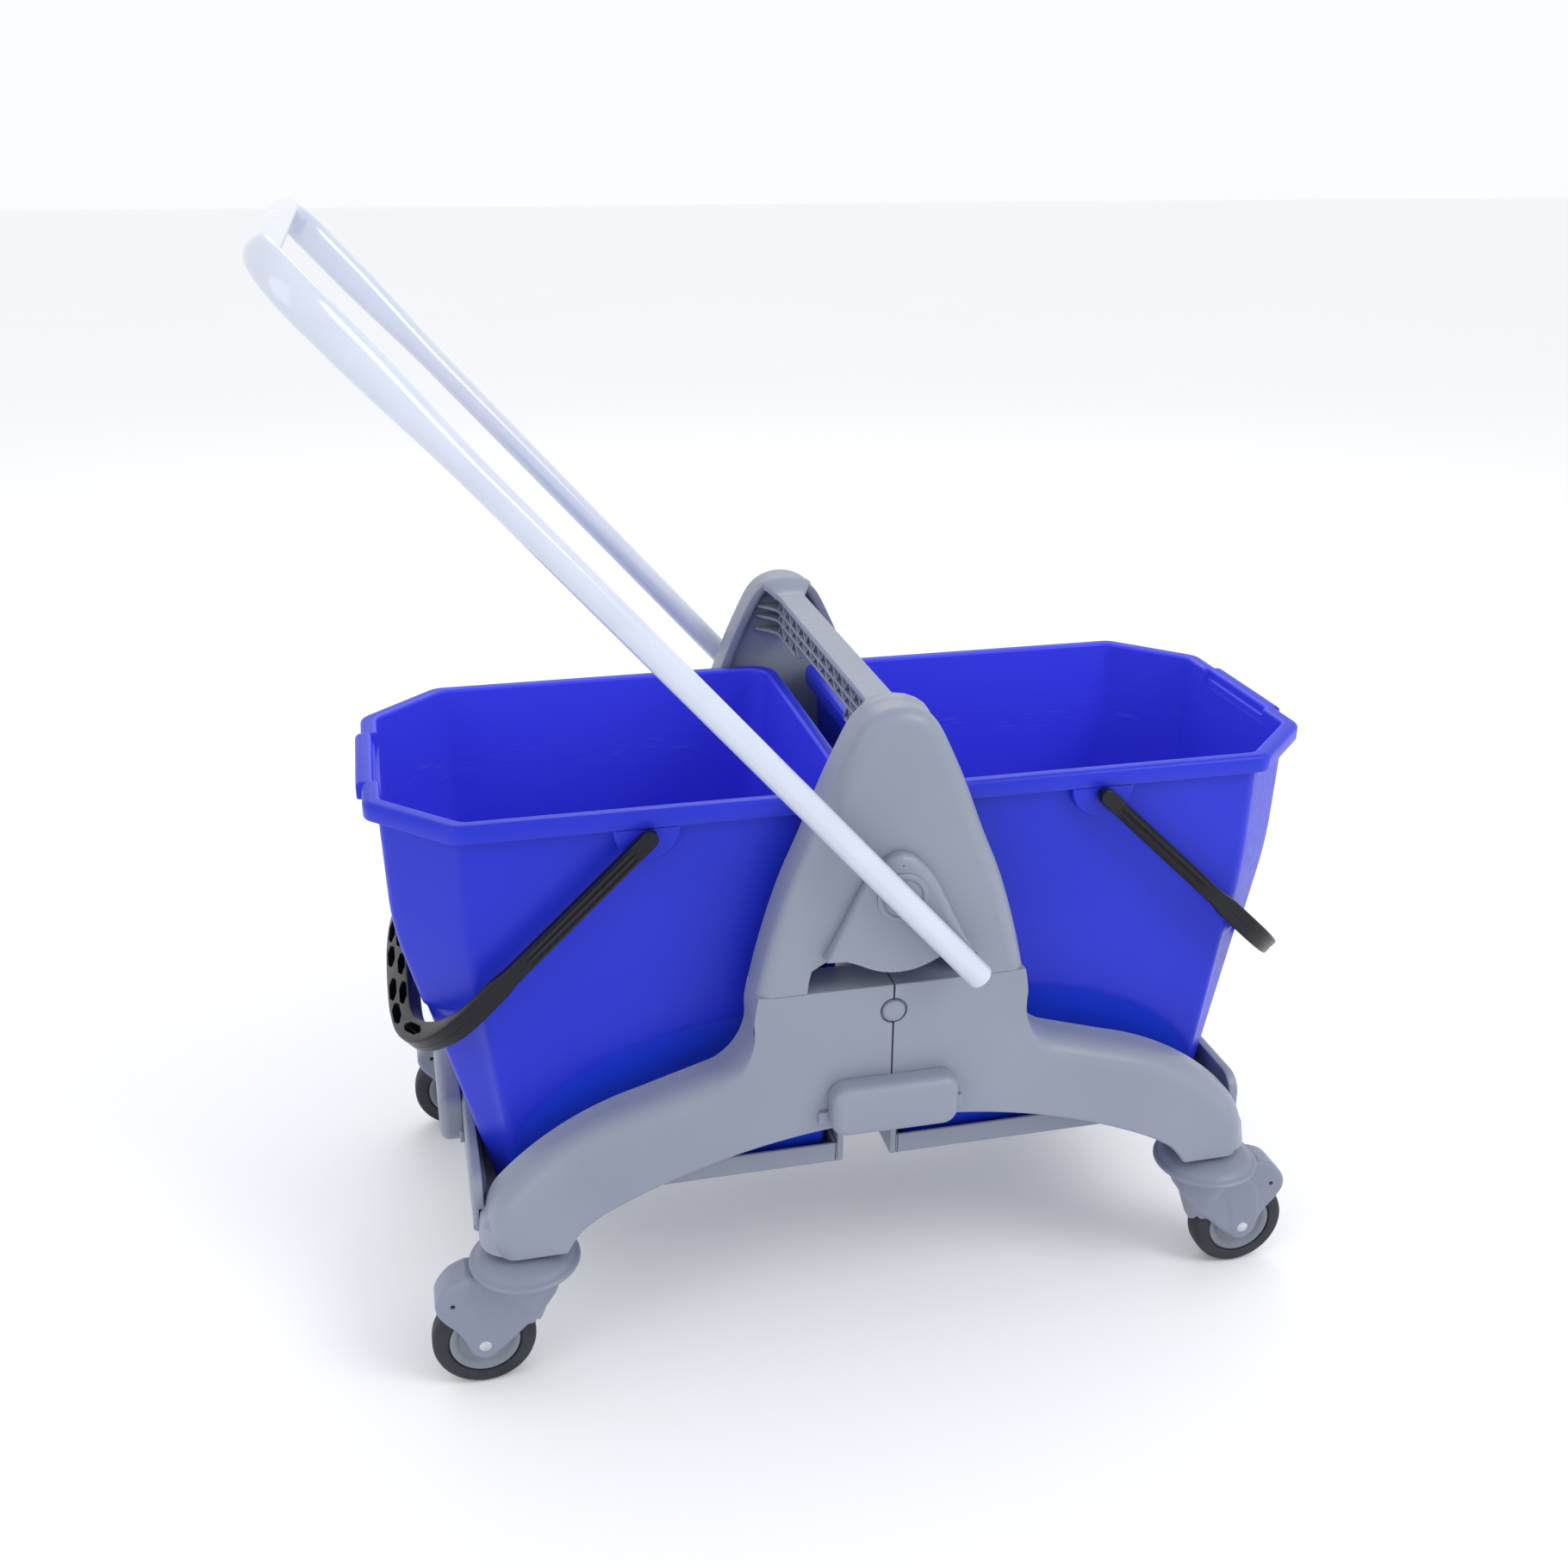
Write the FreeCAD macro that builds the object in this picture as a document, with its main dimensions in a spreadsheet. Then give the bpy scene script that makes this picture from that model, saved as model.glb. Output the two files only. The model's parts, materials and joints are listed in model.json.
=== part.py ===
"""Twin-bucket mopping trolley: two lift-out buckets on a four-caster plastic base.

Frame: origin on the floor at the middle of the wheelbase, +Z up, X along the row of
two buckets (left is -X), Y across it (near is -Y). Every length is in millimetres.
"""
import FreeCAD, Part
import math
import os
import Sketcher
from FreeCAD import Placement, Rotation, Vector

doc = FreeCAD.newDocument("MopTrolley")
sheet = doc.addObject("Spreadsheet::Sheet", "Dimensions")

DIMENSIONS = {
    # wheels and casters
    "caster_pitch_x": 284, "caster_pitch_y": 179, "trail": 35, "wheel_radius": 40,
    "tyre_bore": 27, "wheel_width": 20, "axle_radius": 4, "axle_head_radius": 5.5,
    "fork_width": 30, "fork_slot": 22, "fork_top": 104, "fork_plate": 98, "neck_radius": 24,
    "neck_low": 76, "rivet_radius": 10, "disc_radius": 42.5, "disc_low": 104.3, "disc_high": 118,
    "stem_radius": 5.5, "stem_head": 8, "stem_collar": 12, "stem_tip": 156, "hub_boss": 9,
    "running_gap": 0.05, "clear_gap": 0.3,
    # base
    "base_face": 195, "base_inner": 158, "leg_low": 122, "joint_line": 317, "skin": 4,
    "tower_half_foot": 104.5, "beam_outer": 320, "beam_inner": 311, "beam_top": 168,
    "divider_in": 20, "divider_out": 25, "divider_top": 236, "divider_web": 200,
    "tray_low": 123, "tray_plate": 4, "tray_strip": 18, "tray_half": 137, "tray_wall": 3,
    "tray_corner": 4, "arch_edge": 9, "tenon_pitch": 84, "tenon_depth": 172, "tenon_low": 300,
    # yoke
    "apex": 536, "bar_top": 525, "bar_half": 11.5, "bar_deck": 5, "lattice_low": 487,
    "bar_web": 3, "bar_shelf": 2, "shelf_gap": 78, "shelf_drop": 17, "low_row": 12,
    "flare_root": 139.9, "flare_drop": 0.5, "rib_pitch": 16, "rib_reach": 148, "rib_thick": 1.4,
    "tower_edge": 12, "cover_edge": 6,
    # pivot and handle
    "pivot_height": 395, "cover_face": 206, "leg_axis": 218, "tube_radius": 10,
    "tube_wall": 1.6, "handle_lean": 41.5, "handle_reach": 600, "handle_tail": 87,
    "handle_bend": 48, "pin_radius": 8, "pin_stub": 6,
    "pin_root": 178, "cap_radius": 19,
    # buckets
    "rim_top": 457, "rim_deep": 14, "rim_inner": 13, "rim_outer": 374, "rim_half": 152,
    "rim_chamfer": 61, "rim_corner": 12, "rim_edge": 3, "lug_out": 4.5, "lug_half": 52, "lug_step": 8.5,
    "wall": 3, "bucket_low": 127.3, "foot_in": 30, "foot_out": 299, "foot_half": 131, "foot_chamfer": 18,
    "bend_high": 350, "bend_in": 24, "bend_out": 361, "bend_half": 140, "bend_chamfer": 54,
    "wall_in": 21, "wall_out": 364, "wall_half": 144, "wall_chamfer": 57,
    "bail_axis_x": 176, "bail_axis_z": 438, "boss_radius": 25, "boss_root": 140, "bail_pin": 4.4,
    # bails
    "bail_drop": 43.6, "bail_reach": 263, "bail_outer": 163, "bail_thick": 8.5,
    "bail_grip_deep": 24, "bail_half": 8.5, "bail_eye": 6.5, "bail_neck": 7, "bail_pin_tip": 139.5,
    "bail_bend_start": 155, "cell_long": 20, "cell_wide": 4.4,
    # blocks
    "block_half": 50, "block_low": 198, "block_high": 240, "block_deep": 19,
    "block_corner": 11, "block_edge": 7, "plug_height": 295, "plug_radius": 9.5, "plug_step": 1.5,
}
for row, (name, size) in enumerate(DIMENSIONS.items(), start=1):
    sheet.set(f"A{row}", name)
    sheet.set(f"B{row}", str(size))
    sheet.setAlias(f"B{row}", name)
doc.recompute()


class Size(float):
    """A length that also remembers the sheet formula it was worked out by."""

    def __new__(cls, number, formula=None):
        size = super().__new__(cls, number)
        size.formula = formula or repr(float(number))
        return size

    def __add__(self, other):
        return joined(self, "+", other, float(self) + float(other))

    def __radd__(self, other):
        return joined(other, "+", self, float(other) + float(self))

    def __sub__(self, other):
        return joined(self, "-", other, float(self) - float(other))

    def __rsub__(self, other):
        return joined(other, "-", self, float(other) - float(self))

    def __mul__(self, other):
        return joined(self, "*", other, float(self) * float(other))

    def __rmul__(self, other):
        return joined(other, "*", self, float(other) * float(self))

    def __truediv__(self, other):
        return joined(self, "/", other, float(self) / float(other))

    def __neg__(self):
        return Size(-float(self), f"(0 - {self.formula})")


def formula(length):
    """The formula of a length, or the plain number where it has none."""
    return getattr(length, "formula", repr(float(length)))


def joined(left, sign, right, number):
    return Size(number, f"({formula(left)} {sign} {formula(right)})")


def dim(name):
    """A driving dimension, read from the sheet and tied to its cell."""
    return Size(sheet.get(name), "Dimensions." + name)


def bind(obj, **lengths):
    """Ties properties of an object to the sheet; Placement__Base__x stands for Placement.Base.x."""
    for name, length in lengths.items():
        obj.setExpression(name.replace("__", "."), formula(length))
    return obj


NODES = []


def node(obj, label):
    """Marks an object as one piece of the trolley."""
    obj.Label = label
    NODES.append(obj)
    return obj


def feature(name, shape, placement=None):
    """A shape whose outline is worked out from the sheet in code."""
    made = doc.addObject("Part::Feature", name)
    made.Shape = shape
    if placement is not None:
        made.Placement = placement
    return made


def mirrored(name, source, normal):
    """The mirror image of another object through the origin."""
    image = doc.addObject("Part::Mirroring", name)
    image.Source = source
    image.Normal = normal
    return image


def bound_box(name, x0, x1, y0, y1, z0, z1):
    """A block between two corners whose size and place follow the sheet."""
    made = doc.addObject("Part::Box", name)
    return bind(made, Length=x1 - x0, Width=y1 - y0, Height=z1 - z0,
                Placement__Base__x=x0, Placement__Base__y=y0, Placement__Base__z=z0)


def fused(name, members):
    made = doc.addObject("Part::MultiFuse", name)
    made.Shapes = members
    made.Refine = True
    return made


def cut(name, base, tool):
    made = doc.addObject("Part::Cut", name)
    made.Base = base
    made.Tool = tool
    made.Refine = True
    return made


ACROSS = Vector(1, 0, 0)
DEEP = Vector(0, 1, 0)


def mirror_y(shape):
    return shape.mirror(Vector(0, 0, 0), Vector(0, 1, 0))


# ---------------------------------------------------------------- small helpers

def polygon_face(points):
    """A flat face through points given as vectors."""
    return Part.Face(Part.makePolygon(list(points) + [points[0]]))


def wire_face(edges):
    return Part.Face(Part.Wire(Part.__sortEdges__(edges)))


def line(a, b):
    return Part.makeLine(Vector(*a), Vector(*b))


def arc(a, b, c):
    return Part.Arc(Vector(*a), Vector(*b), Vector(*c)).toShape()


def box(x0, x1, y0, y1, z0, z1):
    return Part.makeBox(x1 - x0, y1 - y0, z1 - z0, Vector(x0, y0, z0))


def rod(radius, start, end):
    """A cylinder from one point to another."""
    a = Vector(*start)
    b = Vector(*end)
    return Part.makeCylinder(radius, (b - a).Length, a, b - a)


def fillet_where(shape, radius, test):
    """Rounds the edges whose bounding box passes a test."""
    edges = [e for e in shape.Edges if test(e.BoundBox)]
    return shape.makeFillet(radius, edges) if edges else shape


# ---------------------------------------------------------------- casters

def sketch_on(body, role, name, height=0):
    """An empty sketch on one of a body's own origin planes, or that far above it."""
    sketch = body.newObject("Sketcher::SketchObject", name)
    plane = [f for f in body.Origin.OriginFeatures if f.Role == role][0]
    sketch.AttachmentSupport = [(plane, "")]
    sketch.MapMode = "FlatFace"
    bind(sketch, AttachmentOffset__Base__z=height)
    return sketch


def pin_corner(sketch, edge, corner):
    """Holds the start of an edge at a corner whose coordinates follow the sheet."""
    for kind, length in (("DistanceX", corner[0]), ("DistanceY", corner[1])):
        index = sketch.addConstraint(Sketcher.Constraint(kind, -1, 1, edge, 1, float(length)))
        sketch.setExpression(f"Constraints[{index}]", formula(length))


def polygon_sketch(body, role, name, corners, height=0):
    """A closed outline of straight edges, every corner tied to the sheet."""
    sketch = sketch_on(body, role, name, height)
    ends = corners[1:] + corners[:1]
    for (a, b), (c, d) in zip(corners, ends):
        sketch.addGeometry(Part.LineSegment(Vector(a, b, 0), Vector(c, d, 0)), False)
    count = len(corners)
    for edge in range(count):
        sketch.addConstraint(Sketcher.Constraint("Coincident", edge, 2, (edge + 1) % count, 1))
    for edge, corner in enumerate(corners):
        pin_corner(sketch, edge, corner)
    return sketch


def rectangle(x0, x1, y0, y1):
    return [(x0, y0), (x1, y0), (x1, y1), (x0, y1)]


def padded(body, name, sketch, length):
    pad = body.newObject("PartDesign::Pad", name)
    pad.Profile = sketch
    return bind(pad, Length=length)


def rounded(body, name, base, radius, test):
    """Rounds the edges of a body's last feature whose bounding box passes a test."""
    doc.recompute()
    edges = [f"Edge{k}" for k, e in enumerate(base.Shape.Edges, start=1) if test(e.BoundBox)]
    fillet = body.newObject("PartDesign::Fillet", name)
    fillet.Base = (base, edges)
    return bind(fillet, Radius=radius)


def turned_body(label, profile, placement):
    """A piece turned about its local Z axis from a profile of (radius, height)."""
    body = doc.addObject("PartDesign::Body", label)
    sketch = polygon_sketch(body, "XZ_Plane", label + "_profile", profile)
    turn = body.newObject("PartDesign::Revolution", label + "_turn")
    turn.Profile = sketch
    turn.ReferenceAxis = (sketch, ["V_Axis"])
    turn.Angle = 360
    body.Placement = placement
    return body


def turned(label, profile, placement):
    return node(turned_body(label, profile, placement), label)


def fork_solid():
    """One fork: a hood over the wheel, with a cheek on each side of it, trailing to +X."""
    top = dim("fork_top")
    tail = dim("trail")
    axle = dim("wheel_radius")
    half = dim("fork_width") / 2
    nose = (-24, top)
    chin = (tail - 10, axle - 12)
    heel = (tail + 16, axle + 3)
    spur_low = (tail + 34, axle + 38)
    spur_high = (tail + 32, top - 6)
    edges = [
        arc((nose[0], 0, nose[1]), (-13, 0, 66), (9, 0, axle)),
        line((9, 0, axle), (chin[0], 0, chin[1])),
        arc((chin[0], 0, chin[1]), (tail + 10, 0, axle - 9), (heel[0], 0, heel[1])),
        arc((heel[0], 0, heel[1]), (tail + 20, 0, axle + 23), (spur_low[0], 0, spur_low[1])),
        arc((spur_low[0], 0, spur_low[1]), (tail + 34.5, 0, axle + 50),
            (spur_high[0], 0, spur_high[1])),
        line((spur_high[0], 0, spur_high[1]), (tail + 8, 0, top)),
        line((tail + 8, 0, top), (nose[0], 0, nose[1])),
    ]
    hood = wire_face(edges).extrude(Vector(0, 2 * half, 0))
    hood.translate(Vector(0, -half, 0))
    wide = dim("neck_radius")
    neck_low = dim("neck_low")
    cone_deep = 30
    neck = Part.makeCylinder(wide, top - neck_low, Vector(0, 0, neck_low))
    cone = Part.makeCone(half, wide, cone_deep, Vector(0, 0, neck_low - cone_deep))
    fork = hood.fuse(neck.fuse(cone)).removeSplitter()
    slot = dim("fork_slot") / 2
    wheel_room = Part.makeCylinder(axle + 4, 2 * slot, Vector(tail, -slot, axle), Vector(0, 1, 0))
    hollow = wheel_room.fuse(box(-10, tail + 60, -slot, slot, 0, 80))
    rivet_room = Part.makeCylinder(dim("rivet_radius"), 30, Vector(0, 0, dim("fork_plate") - 30))
    stem_bore = Part.makeCylinder(dim("stem_radius") + dim("running_gap"), 200)
    axle_bore = Part.makeCylinder(dim("axle_radius"), 60, Vector(tail, -30, axle), Vector(0, 1, 0))
    lock_bore = Part.makeCylinder(2, 60, Vector(tail + 22, -30, axle + 41), Vector(0, 1, 0))
    for tool in (hollow, rivet_room, stem_bore, axle_bore, lock_bore):
        fork = fork.cut(tool)
    return fork.removeSplitter()


def caster(name, side_x, side_y):
    """One caster: stem in the frame, then disc, fork, axle, hub and tyre."""
    spot = Vector(side_x * dim("caster_pitch_x"), side_y * dim("caster_pitch_y"), 0)
    heading = Rotation(Vector(0, 0, 1), 0 if side_x > 0 else 180)
    place = Placement(spot, heading)
    stem = dim("stem_radius")
    gap = dim("running_gap")
    low = dim("disc_low")
    high = dim("disc_high")
    wide = dim("disc_radius")
    plate = dim("fork_plate")
    head = dim("stem_head")
    collar = dim("stem_collar")
    turned(f"caster_stem_{name}", [
        (0, plate - 3), (head, plate - 3), (head, plate - dim("clear_gap")),
        (stem, plate - dim("clear_gap")),
        (stem, high + 1), (collar, high + 1), (collar, dim("leg_low")), (stem, dim("leg_low")),
        (stem, dim("stem_tip")), (0, dim("stem_tip"))], place)
    turned(f"caster_disc_{name}", [
        (stem + gap, low), (wide - 3, low), (wide, low + 1.2), (wide, low + 3.5),
        (wide - 6, low + 7.5), (wide - 14, low + 10.5), (22, high - 1), (16, high),
        (stem + gap, high)], place)
    node(feature(f"caster_fork_{name}", fork_solid(), place), f"caster_fork_{name}")
    trail = dim("trail")
    axle_high = dim("wheel_radius")
    wheel_axis = Rotation(Vector(1, 0, 0), -90)
    hub_place = place.multiply(Placement(Vector(trail, 0, axle_high), wheel_axis))
    half = dim("wheel_width") / 2
    bore = dim("tyre_bore")
    axle = dim("axle_radius")
    boss = dim("hub_boss")
    flange = bore - 4
    turned(f"wheel_hub_{name}", [
        (axle + gap, -half - 0.6), (boss, -half - 0.6), (boss, -half + 3), (flange, -half + 3),
        (flange, -half + 0.5), (bore, -half + 0.5), (bore, half - 0.5), (flange, half - 0.5),
        (flange, half - 3), (boss, half - 3), (boss, half + 0.6), (axle + gap, half + 0.6)], hub_place)
    tread = dim("wheel_radius")
    turned(f"tyre_{name}", [
        (bore, -half + 0.5), (bore + 2, -half), (tread - 4, -half), (tread - 1.2, -half + 2),
        (tread, -half + 5), (tread, half - 5), (tread - 1.2, half - 2), (tread - 4, half),
        (bore + 2, half), (bore, half - 0.5)], hub_place)
    cheek = dim("fork_width") / 2
    head = dim("axle_head_radius")
    turned(f"axle_{name}", [
        (0, -cheek - 2.2), (3, -cheek - 2), (head, -cheek - 0.4), (head, -cheek), (axle, -cheek),
        (axle, cheek), (head, cheek), (head, cheek + 0.4), (3, cheek + 2), (0, cheek + 2.2)], hub_place)


CORNERS = {"near_left": (-1, -1), "near_right": (1, -1), "far_left": (-1, 1), "far_right": (1, 1)}
for corner, (side_x, side_y) in CORNERS.items():
    caster(corner, side_x, side_y)


# ---------------------------------------------------------------- base halves

def arch_edges(y):
    """The outline of one half of a side panel, from the seam out to the leg."""
    top = dim("joint_line")
    foot = dim("tower_half_foot")
    low = dim("leg_low")
    return [
        line((0, y, top), (foot, y, top)),
        line((foot, y, top), (foot + 3, y, 300)),
        arc((foot + 3, y, 300), (foot + 10, y, 277), (foot + 27, y, 265)),
        line((foot + 27, y, 265), (190, y, 247)),
        arc((190, y, 247), (257, y, 215), (301, y, 172)),
        arc((301, y, 172), (311, y, 148), (308, y, low)),
        line((308, y, low), (252, y, low)),
        arc((252, y, low), (246, y, 131), (236, y, 139)),
        arc((236, y, 139), (130, y, 181), (0, y, 198)),
        line((0, y, 198), (0, y, top)),
    ]


def side_panel():
    """One near-side panel of the right half: a channel with its open back to the bucket."""
    face = dim("base_face")
    depth = face - dim("base_inner")
    skin = dim("skin")
    solid = wire_face(arch_edges(-face)).extrude(Vector(0, depth, 0))
    foot = dim("tower_half_foot")
    solid = fillet_where(solid, dim("arch_edge"), lambda b: b.YMax < -face + 0.1 and b.XMin > foot - 1)
    inset = Part.Wire(Part.__sortEdges__(arch_edges(-face + skin))).makeOffset2D(-skin)
    hollow = Part.Face(inset).extrude(Vector(0, depth, 0))
    return solid.cut(hollow)


def leg_boss():
    """The foot of one leg, where the caster's stem is pressed in."""
    x = dim("caster_pitch_x")
    y = -dim("caster_pitch_y")
    low = dim("leg_low")
    high = low + 54
    outside = dim("beam_outer") - 3
    inside = outside - 67
    face = -dim("base_face") - 6
    outer = [Vector(inside, face, low), Vector(outside - 15, face, low), Vector(outside, face + 15, low),
             Vector(outside, y + 24, low), Vector(inside, y + 24, low)]
    inner = [Vector(inside + 8, face + 7, high), Vector(outside - 20, face + 7, high),
             Vector(outside - 10, face + 15, high), Vector(outside - 10, y + 21, high),
             Vector(inside + 8, y + 21, high)]
    foot = Part.makeLoft([Part.makePolygon(plan + plan[:1]) for plan in (outer, inner)], True, True)
    socket = Part.makeCylinder(dim("stem_radius"), 60, Vector(x, y, low - 10))
    return foot, socket


def base_half():
    """The right half of the base: two side panels, an end beam and a divider wall."""
    foot, socket = leg_boss()
    near = feature("side_panel_near", side_panel().fuse(foot).cut(socket))
    far = mirrored("side_panel_far", near, DEEP)
    inner = dim("base_inner")
    overlap = 6
    beam = bound_box("end_beam", dim("beam_inner"), dim("beam_outer"), -inner - overlap, inner + overlap,
                     dim("leg_low"), dim("beam_top"))
    wall_in = dim("divider_in")
    wall_out = dim("divider_out")
    web = dim("divider_web")
    tray_half = dim("tray_half")
    divider = bound_box("divider", wall_in, wall_out, -inner - 2, inner + 2, web, dim("divider_top"))
    apron = bound_box("divider_apron", wall_in, wall_out, -tray_half, tray_half, dim("tray_low"), web)
    whole = fused("base_half_whole", [near, far, beam, divider, apron])
    bore = doc.addObject("Part::Cylinder", "plug_bore")
    bore.Placement = Placement(Vector(0, -230, dim("plug_height")), Rotation(ACROSS, -90))
    bind(bore, Radius=dim("plug_radius") - dim("plug_step") + dim("running_gap"), Height=460)
    pitch = dim("tenon_pitch")
    deep = dim("tenon_depth")
    slots = [bound_box(f"tenon_slot_{k}", pitch - 12, pitch + 12, side * deep - 3, side * deep + 3,
                       dim("tenon_low"), dim("joint_line") + 13) for k, side in enumerate((-1, 1))]
    return cut("base_half_right", whole, fused("base_half_bores", [bore] + slots))


right_half = node(base_half(), "base_half_right")
node(mirrored("base_half_left", right_half, ACROSS), "base_half_left")


def tray(label, side):
    """One floor tray, a plate with a raised strip round it; side is 1 on the right."""
    low = dim("tray_low")
    half = dim("tray_half")
    wall = dim("tray_wall")
    inner = dim("divider_out")
    outer = dim("beam_inner")
    body = doc.addObject("PartDesign::Body", label)
    xs = (inner, outer) if side > 0 else (-outer, -inner)
    plan_sketch = polygon_sketch(body, "XY_Plane", label + "_plan", rectangle(*xs, -half, half), low)
    plank = padded(body, label + "_pad", plan_sketch, dim("tray_strip"))
    rounded(body, label + "_edges", plank, dim("tray_corner"),
            lambda b: b.XLength > 100 and b.ZMax < low + 0.1)
    room = rectangle(xs[0] + wall, xs[1] - wall, -half + wall, half - wall)
    room_sketch = polygon_sketch(body, "XY_Plane", label + "_room", room, low + dim("tray_plate"))
    pocket = body.newObject("PartDesign::Pocket", label + "_pocket")
    pocket.Profile = room_sketch
    pocket.Reversed = True
    bind(pocket, Length=dim("tray_strip"))
    return node(body, label)


for label, side in (("floor_tray_right", 1), ("floor_tray_left", -1)):
    tray(label, side)


def block(label, placement):
    """A rounded clip block, wide along its X and standing off towards its -Y, with two tabs."""
    half = dim("block_half")
    high = dim("block_high") - dim("block_low")
    deep = dim("block_deep")
    body = doc.addObject("PartDesign::Body", label)
    front = polygon_sketch(body, "XZ_Plane", label + "_front", rectangle(-half, half, 0, high))
    solid = padded(body, label + "_pad", front, deep)
    solid = rounded(body, label + "_corners", solid, dim("block_corner"),
                    lambda b: b.YLength > deep - 1 and b.XLength < 1)
    rounded(body, label + "_edges", solid, dim("block_edge"), lambda b: b.YMax < -deep + 0.1)
    for k, xs in enumerate(((half - 2, half + 8), (-half - 8, -half + 2))):
        tab = polygon_sketch(body, "XZ_Plane", f"{label}_tab_{k}", rectangle(*xs, 6, 16))
        padded(body, f"{label}_tab_pad_{k}", tab, 4)
    body.Placement = placement
    return node(body, label)


for label, turn_deg, spot in (
        ("seam_block_near", 0, (0, -dim("base_face"), dim("block_low"))),
        ("seam_block_far", 180, (0, dim("base_face"), dim("block_low"))),
        ("end_block_left", -90, (-dim("beam_outer"), 0, dim("leg_low") + 6)),
        ("end_block_right", 90, (dim("beam_outer"), 0, dim("leg_low") + 6))):
    block(label, Placement(Vector(*spot), Rotation(Vector(0, 0, 1), turn_deg)))

for label, turn_deg, side in (("seam_plug_near", 90, -1), ("seam_plug_far", -90, 1)):
    head = dim("plug_radius")
    shank = head - dim("plug_step")
    turned(label, [(0, 0), (shank, 0), (shank, 10), (head, 10), (head, 12), (head - 3, 13.4), (0, 13.8)],
           Placement(Vector(0, side * (dim("base_face") - 10), dim("plug_height")),
                     Rotation(ACROSS, turn_deg)))


# ---------------------------------------------------------------- yoke

def smooth_through(points):
    """A smooth curve through points in a plane of constant Y."""
    curve = Part.BSplineCurve()
    curve.interpolate(points)
    return curve


def moved_in(points, distance):
    """Points of a smooth outline, each moved square to it towards its inside."""
    curve = smooth_through(points)
    moved = []
    for point in points:
        along = curve.tangent(curve.parameter(point))[0]
        moved.append(point + Vector(along.z, 0, -along.x) * distance)
    return moved


def tower_edges(y, inset=0.0):
    """The pointed-arch outline of one tower, or of the hollow behind its skin."""
    apex = dim("apex")
    foot = dim("tower_half_foot")
    low = dim("joint_line")
    right = [(0, apex), (20, apex - 6), (35, apex - 27), (50, apex - 59), (67, apex - 103), (80, apex - 133),
             (91, apex - 166), (foot - 5.5, low + 24), (foot, low)]
    points = [Vector(-x, y, z) for x, z in reversed(right[1:])] + [Vector(x, y, z) for x, z in right]
    if inset:
        points = moved_in(points, inset)
        points = [points[0] + Vector(0, 0, inset)] + points[1:-1] + [points[-1] + Vector(0, 0, inset)]
    return [smooth_through(points).toShape(), Part.makeLine(points[-1], points[0])]


def tower():
    """The near tower: a skin with turned-in edges, open to the buckets, with an arched foot."""
    face = dim("base_face")
    inner = dim("base_inner")
    skin = dim("skin")
    solid = wire_face(tower_edges(-face)).extrude(Vector(0, face - inner, 0))
    floor = dim("joint_line")
    solid = fillet_where(solid, dim("tower_edge"), lambda b: b.YMax < -face + 0.1 and b.ZMax > floor + 1)
    hollow = wire_face(tower_edges(-face + skin, skin)).extrude(Vector(0, face - inner, 0))
    shell = solid.cut(hollow)
    front = -face - 35
    sill = floor - 5
    spring = floor + 16
    foot_arch = wire_face([
        line((-66, front, sill), (66, front, sill)), line((66, front, sill), (64, front, spring)),
        arc((64, front, spring), (0, front, floor + 36), (-64, front, spring)),
        line((-64, front, spring), (-66, front, sill))]).extrude(Vector(0, 90, 0))
    shell = shell.cut(foot_arch)
    pads = []
    tenons = []
    deep = dim("tenon_depth")
    for x in (-dim("tenon_pitch"), dim("tenon_pitch")):
        pads.append(box(x - 16, x + 16, -face + skin + 0.1, -inner - 1, floor, floor + 6))
        tenons.append(box(x - 12, x + 12, -deep - 3, -deep + 3, dim("tenon_low"), floor + 4))
    return shell.fuse(pads + tenons).cut(pivot_bore())


def pivot_bore():
    """The hole for the near pivot pin, through the tower and its cover."""
    height = dim("pivot_height")
    return rod(dim("pin_radius") + dim("running_gap"), (0, -230, height), (0, -150, height))


def carry_bar():
    """The carrying bar: a deck on three shelves with a triangular lattice between them."""
    top = dim("bar_top")
    half = dim("bar_half")
    deck = dim("bar_deck")
    low = dim("lattice_low")
    span = dim("base_inner") + 6
    root = dim("flare_root")
    lowered = top - dim("flare_drop")
    pieces = [bound_box("bar_deck_plate", -half, half, -span, span, top - deck, lowered),
              bound_box("bar_deck_top", -half, half, -root, root, top - deck, top)]
    flare = polygon_face([
        Vector(-half - 4, -span, lowered), Vector(-half - 4, -root - 4, lowered),
        Vector(-half, -root, lowered),
        Vector(half, -root, lowered), Vector(half + 12, -root - 12, lowered),
        Vector(half + 12, -span, lowered)])
    flare = feature("bar_flare_near", flare.extrude(Vector(0, 0, -deck)))
    pieces += [flare, mirrored("bar_flare_far", flare, DEEP)]
    web = dim("bar_web") / 2
    shelf = dim("bar_shelf") / 2
    gap = dim("shelf_gap")
    middle = low + dim("low_row")
    pieces.append(bound_box("bar_web_plate", -web, web, -span, span, middle, top - 1))
    rows = [top - deck, top - dim("shelf_drop"), middle, low]
    for k, height in enumerate(rows[1:3]):
        pieces.append(bound_box(f"bar_shelf_{k}", -half + 1, half - 1, -span, span,
                                height - shelf, height + shelf))
    for k, (start, stop) in enumerate(((-span, -gap), (gap, span))):
        pieces.append(bound_box(f"bar_low_shelf_{k}", -half + 1, half - 1, start, stop,
                                low - shelf, low + shelf))
        pieces.append(bound_box(f"bar_low_web_{k}", -web, web, start, stop, low, middle + shelf))
    return pieces, rows


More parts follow.
